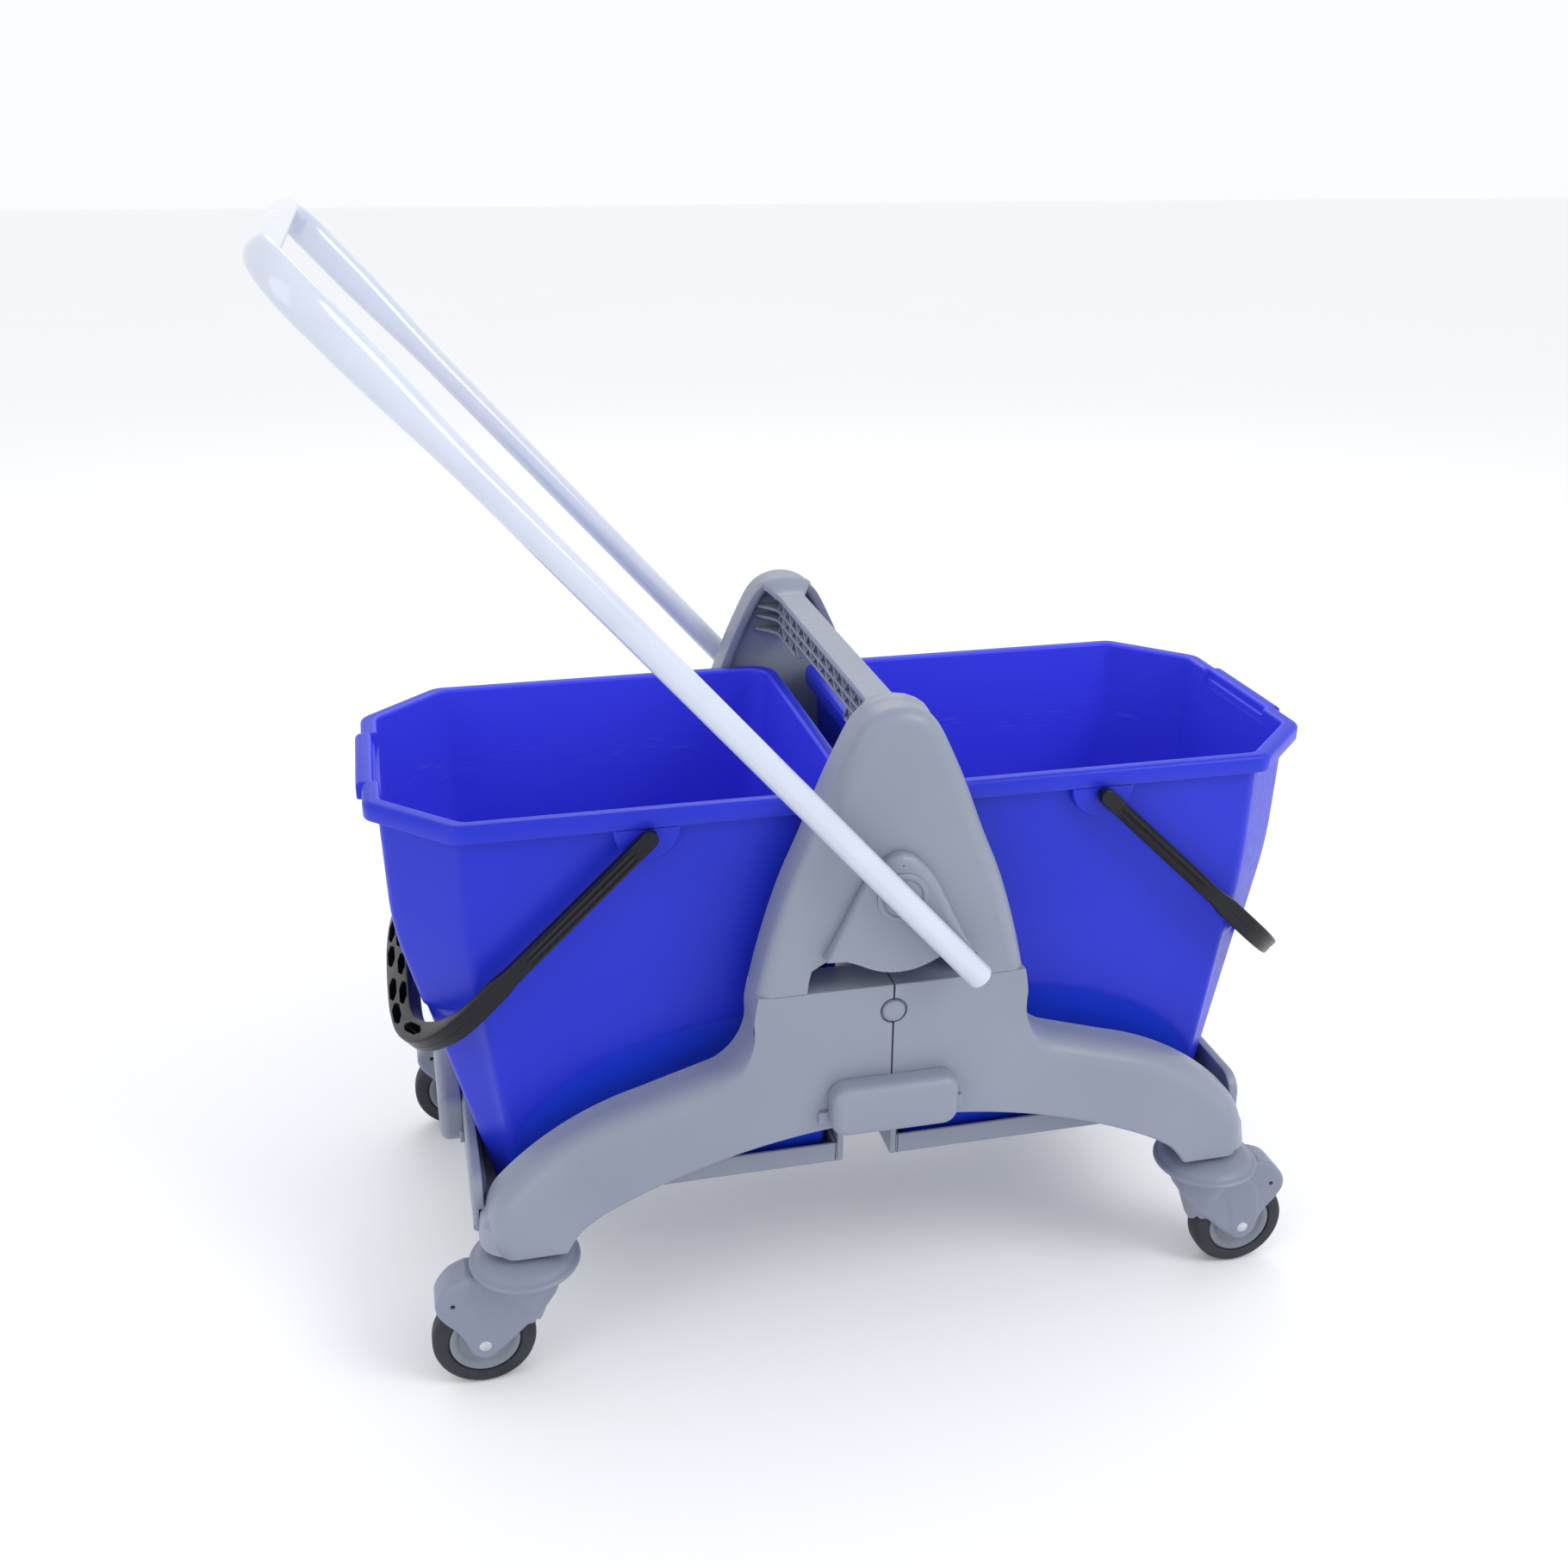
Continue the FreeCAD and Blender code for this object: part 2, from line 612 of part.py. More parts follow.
def lattice(rows):
    """The slanting ribs between the shelves."""
    half = dim("bar_half") - 1.5
    pitch = dim("rib_pitch")
    reach = dim("rib_reach")
    ribs = []
    for level, (upper, lower) in enumerate(zip(rows, rows[1:])):
        for k in range(int(2 * reach / pitch)):
            start = -reach + k * pitch
            if level == 2 and abs(start + pitch / 2) < dim("shelf_gap") + 6:
                continue
            for a, b in ((start, start + pitch / 2), (start + pitch, start + pitch / 2)):
                slope = Vector(0, b - a, upper - lower).normalize()
                side = Vector(0, slope.z, -slope.y) * (dim("rib_thick") / 2)
                foot = Vector(-half, a, lower)
                tip = Vector(-half, b, upper)
                rib = polygon_face([foot - side, foot + side, tip + side, tip - side])
                ribs.append(rib.extrude(Vector(2 * half, 0, 0)))
    return ribs


def yoke():
    """Both towers and the bar between them, moulded in one piece."""
    near = feature("tower_near", tower())
    far = mirrored("tower_far", near, DEEP)
    pieces, rows = carry_bar()
    first, *others = lattice(rows)
    ribs = feature("bar_lattice", first.fuse(others))
    return fused("yoke", [near, far, ribs] + pieces)


node(yoke(), "yoke")


def hub_cover():
    """The bell-shaped cover over the near pivot."""
    face = dim("base_face")
    out = dim("cover_face")
    hub = dim("pivot_height")
    right = [(0, hub + 36), (18, hub + 32), (33, hub + 17), (50, hub - 13), (62, hub - 43)]
    points = [Vector(-x, -face, z) for x, z in reversed(right[1:])] + [Vector(x, -face, z) for x, z in right]
    lip = Part.Arc(points[-1], Vector(0, -face, hub - 62), points[0]).toShape()
    edges = [smooth_through(points).toShape(), lip]
    bell = wire_face(edges).extrude(Vector(0, face - out, 0))
    bell = fillet_where(bell, dim("cover_edge"), lambda b: b.YMax < -out + 0.1)
    return bell.cut(pivot_bore())


near_cover = node(feature("hub_cover_near", hub_cover()), "hub_cover_near")
node(mirrored("hub_cover_far", near_cover, DEEP), "hub_cover_far")


# ---------------------------------------------------------------- push handle

def handle_path(body):
    """The middle line of the U in its own upright plane, with the pivot at the origin."""
    sketch = sketch_on(body, "YZ_Plane", "handle_path")
    y = dim("leg_axis")
    reach = dim("handle_reach")
    tail = -dim("handle_tail")
    bend = dim("handle_bend")
    corner = reach - bend
    up = Vector(0, 0, 1)
    near_turn = Part.Circle(Vector(-y + bend, corner, 0), up, bend)
    far_turn = Part.Circle(Vector(y - bend, corner, 0), up, bend)
    for edge in (
            Part.LineSegment(Vector(-y, tail, 0), Vector(-y, corner, 0)),
            Part.ArcOfCircle(near_turn, math.pi / 2, math.pi),
            Part.LineSegment(Vector(-y + bend, reach, 0), Vector(y - bend, reach, 0)),
            Part.ArcOfCircle(far_turn, 0, math.pi / 2),
            Part.LineSegment(Vector(y, corner, 0), Vector(y, tail, 0))):
        sketch.addGeometry(edge, False)
    for first, first_end, second, second_end in ((0, 2, 1, 2), (1, 1, 2, 1), (2, 2, 3, 2), (3, 1, 4, 1)):
        sketch.addConstraint(Sketcher.Constraint("Tangent", first, first_end, second, second_end))
    for edge, corner in ((0, (-y, tail)), (2, (-y + bend, reach)), (4, (y, reach - bend))):
        pin_corner(sketch, edge, corner)
    for kind, length in (("DistanceX", y), ("DistanceY", tail)):
        index = sketch.addConstraint(Sketcher.Constraint(kind, -1, 1, 4, 2, float(length)))
        sketch.setExpression(f"Constraints[{index}]", formula(length))
    for edge in (1, 3):
        index = sketch.addConstraint(Sketcher.Constraint("Radius", edge, float(bend)))
        sketch.setExpression(f"Constraints[{index}]", formula(bend))
    return sketch


def ring_sketch(body, role, name, centre, radii, height=0):
    """Circles of some radii about one centre."""
    sketch = sketch_on(body, role, name, height)
    for edge, radius in enumerate(radii):
        sketch.addGeometry(Part.Circle(Vector(*centre, 0), Vector(0, 0, 1), radius), False)
        index = sketch.addConstraint(Sketcher.Constraint("Radius", edge, float(radius)))
        sketch.setExpression(f"Constraints[{index}]", formula(radius))
        for kind, length in (("DistanceX", centre[0]), ("DistanceY", centre[1])):
            index = sketch.addConstraint(Sketcher.Constraint(kind, -1, 1, edge, 3, float(length)))
            sketch.setExpression(f"Constraints[{index}]", formula(length))
    return sketch


def handle_tube(placement):
    """The bent steel tube, drilled where the two pivot pins enter its legs."""
    body = doc.addObject("PartDesign::Body", "handle_tube")
    radius = dim("tube_radius")
    section = ring_sketch(body, "XY_Plane", "handle_section", (0, -dim("leg_axis")),
                          (radius, radius - dim("tube_wall")), -dim("handle_tail"))
    path = handle_path(body)
    doc.recompute()
    pipe = body.newObject("PartDesign::AdditivePipe", "handle_sweep")
    pipe.Profile = section
    pipe.Spine = (path, [])
    doc.recompute()
    hole = body.newObject("PartDesign::Pocket", "handle_pin_holes")
    hole.Profile = ring_sketch(body, "XZ_Plane", "handle_pin_sketch", (0, 0), (dim("pin_stub"),))
    hole.Midplane = True
    bind(hole, Length=dim("leg_axis") * 2)
    body.Placement = placement
    return node(body, "handle_tube")


handle_place = Placement(Vector(0, 0, dim("pivot_height")), Rotation(DEEP, -dim("handle_lean")))
handle_tube(handle_place)

cap_bodies = []
for name, side in (("near", -1), ("far", 1)):
    outside = dim("tube_radius")
    inside = outside - dim("tube_wall")
    foot = Placement(Vector(0, side * dim("leg_axis"), -dim("handle_tail")), Rotation())
    cap_bodies.append(turned_body(f"handle_cap_{name}", [
        (0, -3), (outside - 2, -3), (outside - 0.6, -2.4), (outside, -1), (outside, 0), (inside, 0),
        (inside, 12), (0, 12)], handle_place.multiply(foot)))
caps = doc.addObject("Part::Compound", "handle_end_caps")
caps.Links = cap_bodies
node(caps, "handle_end_caps")

for name, turn_deg, side in (("near", 90, -1), ("far", -90, 1)):
    pin = dim("pin_radius")
    stub = dim("pin_stub")
    root = dim("pin_root")
    place = Placement(Vector(0, side * root, dim("pivot_height")), Rotation(ACROSS, turn_deg))
    out = dim("cover_face") - root
    seat = out + 0.4
    tip = dim("leg_axis") - root
    pin_profile = [(0, 0), (pin - 1, 0), (pin, 1), (pin, seat), (stub, seat), (stub, tip), (0, tip)]
    turned(f"pivot_pin_{name}", pin_profile, place)
    cap = dim("cap_radius")
    disc_profile = [(stub, seat), (cap, seat), (cap, seat + 1), (cap - 0.6, out + 2), (stub, out + 2)]
    turned(f"pivot_disc_{name}", disc_profile, place)
    turned(f"pivot_clip_{name}", [(pin, 9), (15, 9), (15, 12), (pin, 12)], place)


# ---------------------------------------------------------------- buckets

def plan(z, x_in, x_out, half, chamfer, small):
    """The eight-sided plan of a bucket at one height."""
    pts = [(x_in, -half + small), (x_in + small, -half), (x_out - chamfer, -half), (x_out, -half + chamfer),
           (x_out, half - chamfer), (x_out - chamfer, half), (x_in + small, half), (x_in, half - small)]
    corners = [Vector(x, y, z) for x, y in pts]
    return Part.makePolygon(corners + corners[:1])


def bucket_skin(offset, low):
    """The wall's outer surface, or its inner one when offset is the wall's thickness."""
    top = dim("rim_top")
    corner = dim("rim_corner")
    levels = []
    for name, height, narrowing in (("foot", low, 0), ("bend", dim("bend_high"), 0.6), ("wall", top, 0.6)):
        x_in, x_out, half, chamfer = [dim(f"{name}_{part}") for part in ("in", "out", "half", "chamfer")]
        levels.append(plan(height, x_in + offset, x_out - offset, half - offset,
                           chamfer - narrowing * offset, corner))
    return Part.makeLoft(levels, True, True)


def bucket():
    """The right bucket: tapered wall, rim with a pouring lug, and two bail bosses."""
    top = dim("rim_top")
    deep = dim("rim_deep")
    low = dim("bucket_low")
    wall = dim("wall")
    rim_in = dim("rim_inner")
    rim_out = dim("rim_outer")
    half = dim("rim_half")
    chamfer = dim("rim_chamfer")
    ring = Part.Face(plan(top - deep, rim_in, rim_out, half, chamfer, dim("rim_corner")))
    ring = ring.extrude(Vector(0, 0, deep))
    lug_half = dim("lug_half")
    lug = box(rim_out - 20, rim_out + dim("lug_out"), -lug_half, lug_half, top - deep, top)
    ring = ring.fuse(lug).removeSplitter()
    ring = fillet_where(ring, dim("rim_edge"), lambda b: b.ZLength < 0.1 and b.ZMax > top - 0.1)
    shell = bucket_skin(0, low).fuse(ring)
    axis_x = dim("bail_axis_x")
    axis_z = dim("bail_axis_z")
    radius = dim("boss_radius")
    for side in (-1, 1):
        boss = rod(radius, (axis_x, side * dim("boss_root"), top - deep), (axis_x, side * half, top - deep))
        below = box(axis_x - radius, axis_x + radius, -half, half, top - deep - radius, top - deep + 1)
        shell = shell.fuse(boss.common(below))
    shell = shell.cut(bucket_skin(wall, low + wall))
    step = box(rim_out - 20, rim_out - dim("lug_step"), 2 - lug_half, lug_half - 2, top - deep, top + 1)
    shell = shell.cut(step)
    pin_hole = rod(dim("bail_pin") + dim("running_gap"), (axis_x, -200, axis_z), (axis_x, 200, axis_z))
    return shell.cut(pin_hole).removeSplitter()


right_bucket = node(feature("bucket_right", bucket()), "bucket_right")
node(mirrored("bucket_left", right_bucket, ACROSS), "bucket_left")


# ---------------------------------------------------------------- bails

# where the grip's openings lie in the bail's plane, and how far each leans with the bend
GRIP_CELLS = ((244.6, 0, 0), (255.4, 28, 0), (244.6, 48, 0), (252.6, 70, 6), (237, 114, 26))


def bail():
    """One bail lying out along +X from its axis: two arms, their bends and an open grip."""
    outer = dim("bail_outer")
    thick = dim("bail_thick")
    inner = outer - thick
    wide = dim("bail_half")
    narrow = dim("bail_eye")
    neck = dim("bail_neck")
    arm = polygon_face([
        Vector(0, inner, -narrow), Vector(0, inner, narrow), Vector(140, inner, neck),
        Vector(165, inner, wide), Vector(165, inner, -wide), Vector(140, inner, -neck)])
    arm = arm.extrude(Vector(0, thick, 0))
    eye = Part.makeCylinder(narrow, thick, Vector(0, inner, 0), DEEP)
    pin = rod(dim("bail_pin"), (0, dim("bail_pin_tip"), 0), (0, inner + 1, 0))
    arm = arm.fuse([eye, pin])
    bar = grip(inner, outer)
    for x, y, lean in GRIP_CELLS:
        cell = grip_cell(x, y, lean)
        bar = bar.cut([cell, mirror_y(cell)])
    return bar.fuse([arm, mirror_y(arm)]).removeSplitter()


def grip(inner, outer):
    """The U-shaped bar at the end of a bail, before its openings are cut."""
    wide = dim("bail_half")
    reach = dim("bail_reach")
    inside = reach - dim("bail_grip_deep")
    start = dim("bail_bend_start")
    outside_bend = [(187, outer), (202, 159.8), (216, 153.5), (230, 142.5), (241, 129), (249, 114),
                    (255, 97), (259, 77), (reach - 1, 45)]
    inside_bend = [(184, inner), (203, 145), (220, 126), (232, 104), (inside - 1, 78), (inside, 50)]
    edges = []
    for bend, tip in ((outside_bend, reach), (inside_bend, inside)):
        far = [Vector(x, y, -wide) for x, y in bend]
        near = [Vector(x, -y, -wide) for x, y in reversed(bend)]
        edges.append(smooth_through(far + [Vector(tip, 0, -wide)] + near).toShape())
        for corner in (far[0], near[-1]):
            edges.append(Part.makeLine(Vector(start, corner.y, -wide), corner))
    for side in (-1, 1):
        edges.append(line((start, side * inner, -wide), (start, side * outer, -wide)))
    return wire_face(edges).extrude(Vector(0, 0, 2 * wide))


def grip_cell(x, y, lean):
    """The tool that cuts one long six-sided opening through the grip."""
    deep = 2 * dim("bail_half")
    ring = []
    for k in range(6):
        angle = math.radians(60 * k + 30)
        ring.append(Vector(dim("cell_wide") * math.cos(angle), dim("cell_long") * math.sin(angle), -deep))
    tool = polygon_face(ring).extrude(Vector(0, 0, 2 * deep))
    tool.Placement = Placement(Vector(x, y, 0), Rotation(Vector(0, 0, 1), lean))
    return tool


right_bail = bail()
drop = dim("bail_drop")
pivot = Vector(dim("bail_axis_x"), 0, dim("bail_axis_z"))
right_place = Placement(pivot, Rotation(DEEP, drop))
left_place = Placement(Vector(-pivot.x, 0, pivot.z), Rotation(DEEP, -drop))
node(feature("bail_right", right_bail, right_place), "bail_right")
node(feature("bail_left", right_bail.mirror(Vector(), ACROSS), left_place), "bail_left")


# ---------------------------------------------------------------- writing

doc.recompute()
for item in doc.Objects:
    if "Invalid" in item.State or "Error" in item.State:
        raise RuntimeError(f"{item.Label} did not build: {item.State}")
os.makedirs("parts", exist_ok=True)
for item in NODES:
    if item.Shape.isNull() or not item.Shape.isValid():
        raise RuntimeError(f"{item.Label} has no valid shape")
for item in NODES:
    item.Shape.exportStep(f"parts/{item.Label}.step")
    print(item.Label, len(item.Shape.Solids), round(item.Shape.Volume / 1000, 1), "cm3")
print(len(NODES), "nodes")
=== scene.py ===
import json
import math

import bmesh
import bpy
from mathutils import Matrix, Vector


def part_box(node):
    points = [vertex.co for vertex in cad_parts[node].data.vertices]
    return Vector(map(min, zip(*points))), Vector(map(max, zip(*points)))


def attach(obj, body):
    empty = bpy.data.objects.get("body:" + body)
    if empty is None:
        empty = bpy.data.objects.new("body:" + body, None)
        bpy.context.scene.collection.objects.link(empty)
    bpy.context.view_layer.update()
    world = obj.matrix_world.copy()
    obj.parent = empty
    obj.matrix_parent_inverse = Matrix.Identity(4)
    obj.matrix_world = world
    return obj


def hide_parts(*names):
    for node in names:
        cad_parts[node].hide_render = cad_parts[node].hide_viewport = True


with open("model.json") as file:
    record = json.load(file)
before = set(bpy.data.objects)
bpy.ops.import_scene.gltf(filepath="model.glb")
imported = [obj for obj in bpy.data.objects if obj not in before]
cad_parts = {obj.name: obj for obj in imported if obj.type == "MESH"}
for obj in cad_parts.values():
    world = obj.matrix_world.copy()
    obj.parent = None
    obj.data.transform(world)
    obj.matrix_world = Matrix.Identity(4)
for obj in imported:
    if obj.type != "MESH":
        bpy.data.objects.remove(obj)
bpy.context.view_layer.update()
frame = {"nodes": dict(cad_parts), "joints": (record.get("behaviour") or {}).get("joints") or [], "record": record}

MM = 0.001


def joint_place(name):
    """Where a joint of the record turns, in millimetres."""
    joint = [j for j in frame["joints"] if j["name"] == name][0]
    return [c / MM for c in joint["pos_m"]]


def node_box(node):
    """The lowest and highest corner of a CAD node, in millimetres."""
    low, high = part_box(node)
    return low / MM, high / MM


# ------------------------------------------------------------------ mesh helpers

def smooth_step(value, start, end):
    """0 before start, 1 after end, and a soft rise between them."""
    share = min(max((value - start) / (end - start), 0.0), 1.0)
    return share * share * (3 - 2 * share)


def between(value, knots):
    """Straight interpolation through (position, value) knots."""
    for (a, low), (b, high) in zip(knots, knots[1:]):
        if value <= b:
            return low + (high - low) * max(value - a, 0.0) / (b - a)
    return knots[-1][1]


def bent(value, knots, soft):
    """Interpolation through three knots, with the bend at the middle one rounded."""
    (a, low), (b, mid), (c, high) = knots
    first = (mid - low) / (b - a)
    second = (high - mid) / (c - b)
    if value < b - soft:
        return low + first * (value - a)
    if value > b + soft:
        return mid + second * (value - b)
    step = value - (b - soft)
    return low + first * (b - soft - a) + first * step + (second - first) * step * step / (4 * soft)


def quarter(steps):
    """The angles of a quarter turn, in even steps."""
    return [math.pi / 2 * k / steps for k in range(steps + 1)]


def arc(a, b, c, steps=10):
    """Points of the circle arc from a through b to c, in a plane."""
    ax, ay = a
    bx, by = b
    cx, cy = c
    a2, b2, c2 = (x * x + y * y for x, y in (a, b, c))
    d = 2 * (ax * (by - cy) + bx * (cy - ay) + cx * (ay - by))
    ux = (a2 * (by - cy) + b2 * (cy - ay) + c2 * (ay - by)) / d
    uy = (a2 * (cx - bx) + b2 * (ax - cx) + c2 * (bx - ax)) / d
    radius = math.hypot(ax - ux, ay - uy)
    start, middle, end = (math.atan2(y - uy, x - ux) for x, y in (a, b, c))
    turn = (end - start) % math.tau
    if (middle - start) % math.tau > turn:
        turn -= math.tau
    angles = [start + turn * k / steps for k in range(steps + 1)]
    return [(ux + radius * math.cos(angle), uy + radius * math.sin(angle)) for angle in angles]


def soften(corners, steps=6):
    """A closed outline whose corners, each (a, b, radius), are rounded."""
    outline = []
    for i, (a, b, radius) in enumerate(corners):
        here = Vector((a, b))
        if radius <= 0:
            outline.append((a, b))
            continue
        back = Vector(corners[i - 1][:2]) - here
        ahead = Vector(corners[(i + 1) % len(corners)][:2]) - here
        half = back.angle(ahead) / 2
        reach = min(radius / math.tan(half), 0.49 * min(back.length, ahead.length))
        back.normalize()
        ahead.normalize()
        centre = here + (back + ahead).normalized() * reach / math.cos(half)
        start = here + back * reach - centre
        turn = start.angle_signed(here + ahead * reach - centre)
        for k in range(steps + 1):
            at = start.copy()
            at.rotate(Matrix.Rotation(-turn * k / steps, 2))
            outline.append(tuple(centre + at))
    return outline


def resample(points, count):
    """The same open line with count points, evenly spaced along it."""
    gaps = [math.dist(p, q) for p, q in zip(points, points[1:])]
    total = sum(gaps)
    out = []
    i = 0
    passed = 0.0
    for k in range(count):
        target = total * k / (count - 1)
        while i < len(gaps) - 1 and passed + gaps[i] < target:
            passed += gaps[i]
            i += 1
        share = min(max((target - passed) / gaps[i], 0.0), 1.0)
        out.append(tuple(p + (q - p) * share for p, q in zip(points[i], points[i + 1])))
    return out


def loft(rings, capped=True):
    """A closed skin over rings of points. Its ends are capped, or meet if capped is False."""
    count = len(rings[0])
    points = [tuple(p) for ring in rings for p in ring]
    faces = []
    for r in range(len(rings) - 1 if capped else len(rings)):
        a = r * count
        b = (r + 1) % len(rings) * count
        for k in range(count):
            n = (k + 1) % count
            faces.append((a + k, a + n, b + n, b + k))
    if capped:
        faces.append(tuple(range(count)))
        faces.append(tuple(range(len(points) - count, len(points))))
    return points, faces


def changed(solid, change):
    """The same solid with every point passed through a function."""
    return [change(p) for p in solid[0]], solid[1]


def flipped(solid, x=1, y=1):
    return changed(solid, lambda p: (p[0] * x, p[1] * y, p[2]))


def stood(solid, centre, heading):
    """A solid turned about Z and set on a point."""
    turn = Matrix.Rotation(math.radians(heading), 3, "Z")
    return changed(solid, lambda p: tuple(Vector(centre) + turn @ Vector(p)))


def turned(profile, centre, axis, steps=72):
    """A solid turned from a closed profile of (radius, height) about an axis through centre."""
    up = Vector(axis).normalized()
    side = up.orthogonal().normalized()
    other = up.cross(side)
    centre = Vector(centre)
    rings = []
    for k in range(steps):
        angle = math.tau * k / steps
        out = side * math.cos(angle) + other * math.sin(angle)
        rings.append([tuple(centre + out * r + up * h) for r, h in profile])
    return loft(rings, capped=False)


def slab(low, high, radius=1.0):
    """A block between two corners with rounded edges."""
    radius = min(radius, 0.45 * min(b - a for a, b in zip(low, high)))
    x0, y0, z0 = low
    x1, y1, z1 = high
    plan = [(x0, y0), (x1, y0), (x1, y1), (x0, y1)]
    steps = 3
    rings = []
    for k in range(2 * steps + 2):
        angle = -math.pi / 2 + math.pi / 2 * (k if k <= steps else k - 1) / steps
        base = z0 + radius if k <= steps else z1 - radius
        shrink = radius * (1 - math.cos(angle))
        corners = [(x + (shrink if x == x0 else -shrink), y + (shrink if y == y0 else -shrink),
                    max(radius - shrink, 0.02)) for x, y in plan]
        rings.append([(a, b, base + radius * math.sin(angle)) for a, b in soften(corners, 3)])
    return loft(rings)


def inset(points, weights, distance):
    """A closed outline moved inwards, by weights[i] * distance at the edge after point i."""
    moved = []
    for i, (a, b) in enumerate(points):
        before = Vector((a, b)) - Vector(points[i - 1])
        after = Vector(points[(i + 1) % len(points)]) - Vector((a, b))
        before.normalize()
        after.normalize()
        first = weights[i - 1] * distance
        second = weights[i] * distance
        cross = before.x * after.y - before.y * after.x
        if abs(cross) < 0.2:
            shift_a = (-before.y * first - after.y * second) / 2
            shift_b = (before.x * first + after.x * second) / 2
        else:
            shift_a = (first * after.x - second * before.x) / cross
            shift_b = (first * after.y - second * before.y) / cross
        moved.append((a + shift_a, b + shift_b))
    return moved


def plate(outline, back, face, reach, depth, weights=None, rim=0.0, floor=None, steps=8):
    """A plate in the XZ plane from y=back to y=face, whose face edge is rounded: reach along the
    face and depth behind it. With a rim its back is hollowed to y=floor inside a wall that wide."""
    weights = weights or [1.0] * len(outline)
    sign = 1 if back > face else -1

    def ring(distance, y):
        return [(x, y, z) for x, z in inset(outline, weights, distance)]

    def edge(start, run, y, drop, angles):
        return [ring(start + run * (1 - math.cos(a)), y + sign * drop * (1 - math.sin(a))) for a in angles]

    if rim:
        soft = 0.5 * rim
        rings = [ring(rim + soft + 1.0, floor)]
        rings += edge(rim, soft, floor, soft, quarter(steps // 2)[::-1])
        rings += edge(rim, -0.8 * soft, back, -0.8 * soft, quarter(4))
    else:
        rings = [ring(1.5, back)]
    rings += edge(0.0, 1.2, back, -1.2, quarter(4)[::-1])
    rings += edge(0.0, reach, face, depth, quarter(steps))
    rings.append(ring(reach + 0.8, face))
    return loft(rings)


def solid_mesh(name, solids):
    """A mesh in metres from closed solids in millimetres."""
    mesh = bpy.data.meshes.new(name)
    shape = bmesh.new()
    for points, faces in solids:
        made = [shape.verts.new((x * MM, y * MM, z * MM)) for x, y, z in points]
        for face in faces:
            shape.faces.new([made[i] for i in face])
    bmesh.ops.remove_doubles(shape, verts=shape.verts, dist=2e-6)
    bmesh.ops.delete(shape, geom=[edge for edge in shape.edges if not edge.link_faces], context="EDGES")
    bmesh.ops.recalc_face_normals(shape, faces=shape.faces)
    shape.to_mesh(mesh)
    shape.free()
    return mesh


def carved(solids, tools, voxel=None, smooth=0):
    """The mesh of some solids, blended together if a voxel size is given, with tools cut out."""
    def shown(mesh):
        obj = bpy.data.objects.new(mesh.name, mesh)
        bpy.context.scene.collection.objects.link(obj)
        return obj

    base = shown(solid_mesh("carved_base", solids))
    if voxel:
        remesh = base.modifiers.new("blend", "REMESH")
        remesh.mode = "VOXEL"
        remesh.voxel_size = voxel * MM
        relax = base.modifiers.new("relax", "SMOOTH")
        relax.factor = 0.5
        relax.iterations = smooth
    cutters = [shown(solid_mesh(f"carving_tool_{k}", [tool])) for k, tool in enumerate(tools)]
    for cutter in cutters:
        cut = base.modifiers.new("cut", "BOOLEAN")
        cut.operation = "DIFFERENCE"
        cut.solver = "EXACT"
        cut.object = cutter
    mesh = bpy.data.meshes.new_from_object(base.evaluated_get(bpy.context.evaluated_depsgraph_get()))
    for obj in [base] + cutters:
        bpy.data.objects.remove(obj)
    return mesh


def as_solid(mesh):
    """A mesh in metres as a solid in millimetres, to be flipped and joined like the others."""
    return [tuple(v.co / MM) for v in mesh.vertices], [tuple(p.vertices) for p in mesh.polygons]


def piece(name, solids, body, material, nodes=(), sharp=40):
    """One piece of the trolley from closed solids in millimetres. It rides on a body, takes its
    finish from the material's slot and stands for CAD nodes."""
    return placed(solid_mesh(name, solids), name, body, material, nodes, sharp)


def placed(mesh, name, body, material, nodes=(), sharp=40):
    mesh.shade_smooth()
    mesh.set_sharp_from_angle(angle=math.radians(sharp))
    mesh.materials.clear()
    mesh.materials.append(material)
    obj = bpy.data.objects.new(name, mesh)
    bpy.context.scene.collection.objects.link(obj)
    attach(obj, body)
    if nodes:
        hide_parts(*nodes)
    return obj


# ------------------------------------------------------------------ materials

ARCH_X, ARCH_Z = 90.0, 150.0                # middle of the arch moulded low in a bucket's long sides
ARCH_HALF, ARCH_HIGH = 202.0, 121.0
SINK_MARKS = 0.0002                         # depth in metres


def new_material(name, slot):
    material = bpy.data.materials.new(name)
    material.use_nodes = True
    material["slot"] = slot
    tree = material.node_tree
    shader = tree.nodes["Principled BSDF"]
    where = tree.nodes.new("ShaderNodeTexCoord").outputs["Object"]
    return material, tree, shader, where


def noise(tree, where, scale, detail=4.0, stretch=None, rough=0.5):
    """A noise texture over the object's own coordinates, which are in metres."""
    if stretch:
        mapping = tree.nodes.new("ShaderNodeMapping")
        mapping.inputs["Scale"].default_value = stretch
        tree.links.new(where, mapping.inputs["Vector"])
        where = mapping.outputs["Vector"]
    texture = tree.nodes.new("ShaderNodeTexNoise")
    texture.inputs["Scale"].default_value = scale
    texture.inputs["Detail"].default_value = detail
    texture.inputs["Roughness"].default_value = rough
    tree.links.new(where, texture.inputs["Vector"])
    return texture.outputs["Fac"]


def ramp(tree, value, low, high, start=0.0, end=1.0, clamped=True):
    """The value taken from start to end, as numbers from low to high."""
    node = tree.nodes.new("ShaderNodeMapRange")
    node.clamp = clamped
    node.inputs["From Min"].default_value = start
    node.inputs["From Max"].default_value = end
    node.inputs["To Min"].default_value = low
    node.inputs["To Max"].default_value = high
    tree.links.new(value, node.inputs["Value"])
    return node.outputs["Result"]


def split(tree, vector):
    """The three parts of a vector output."""
    node = tree.nodes.new("ShaderNodeSeparateXYZ")
    tree.links.new(vector, node.inputs["Vector"])
    return node.outputs


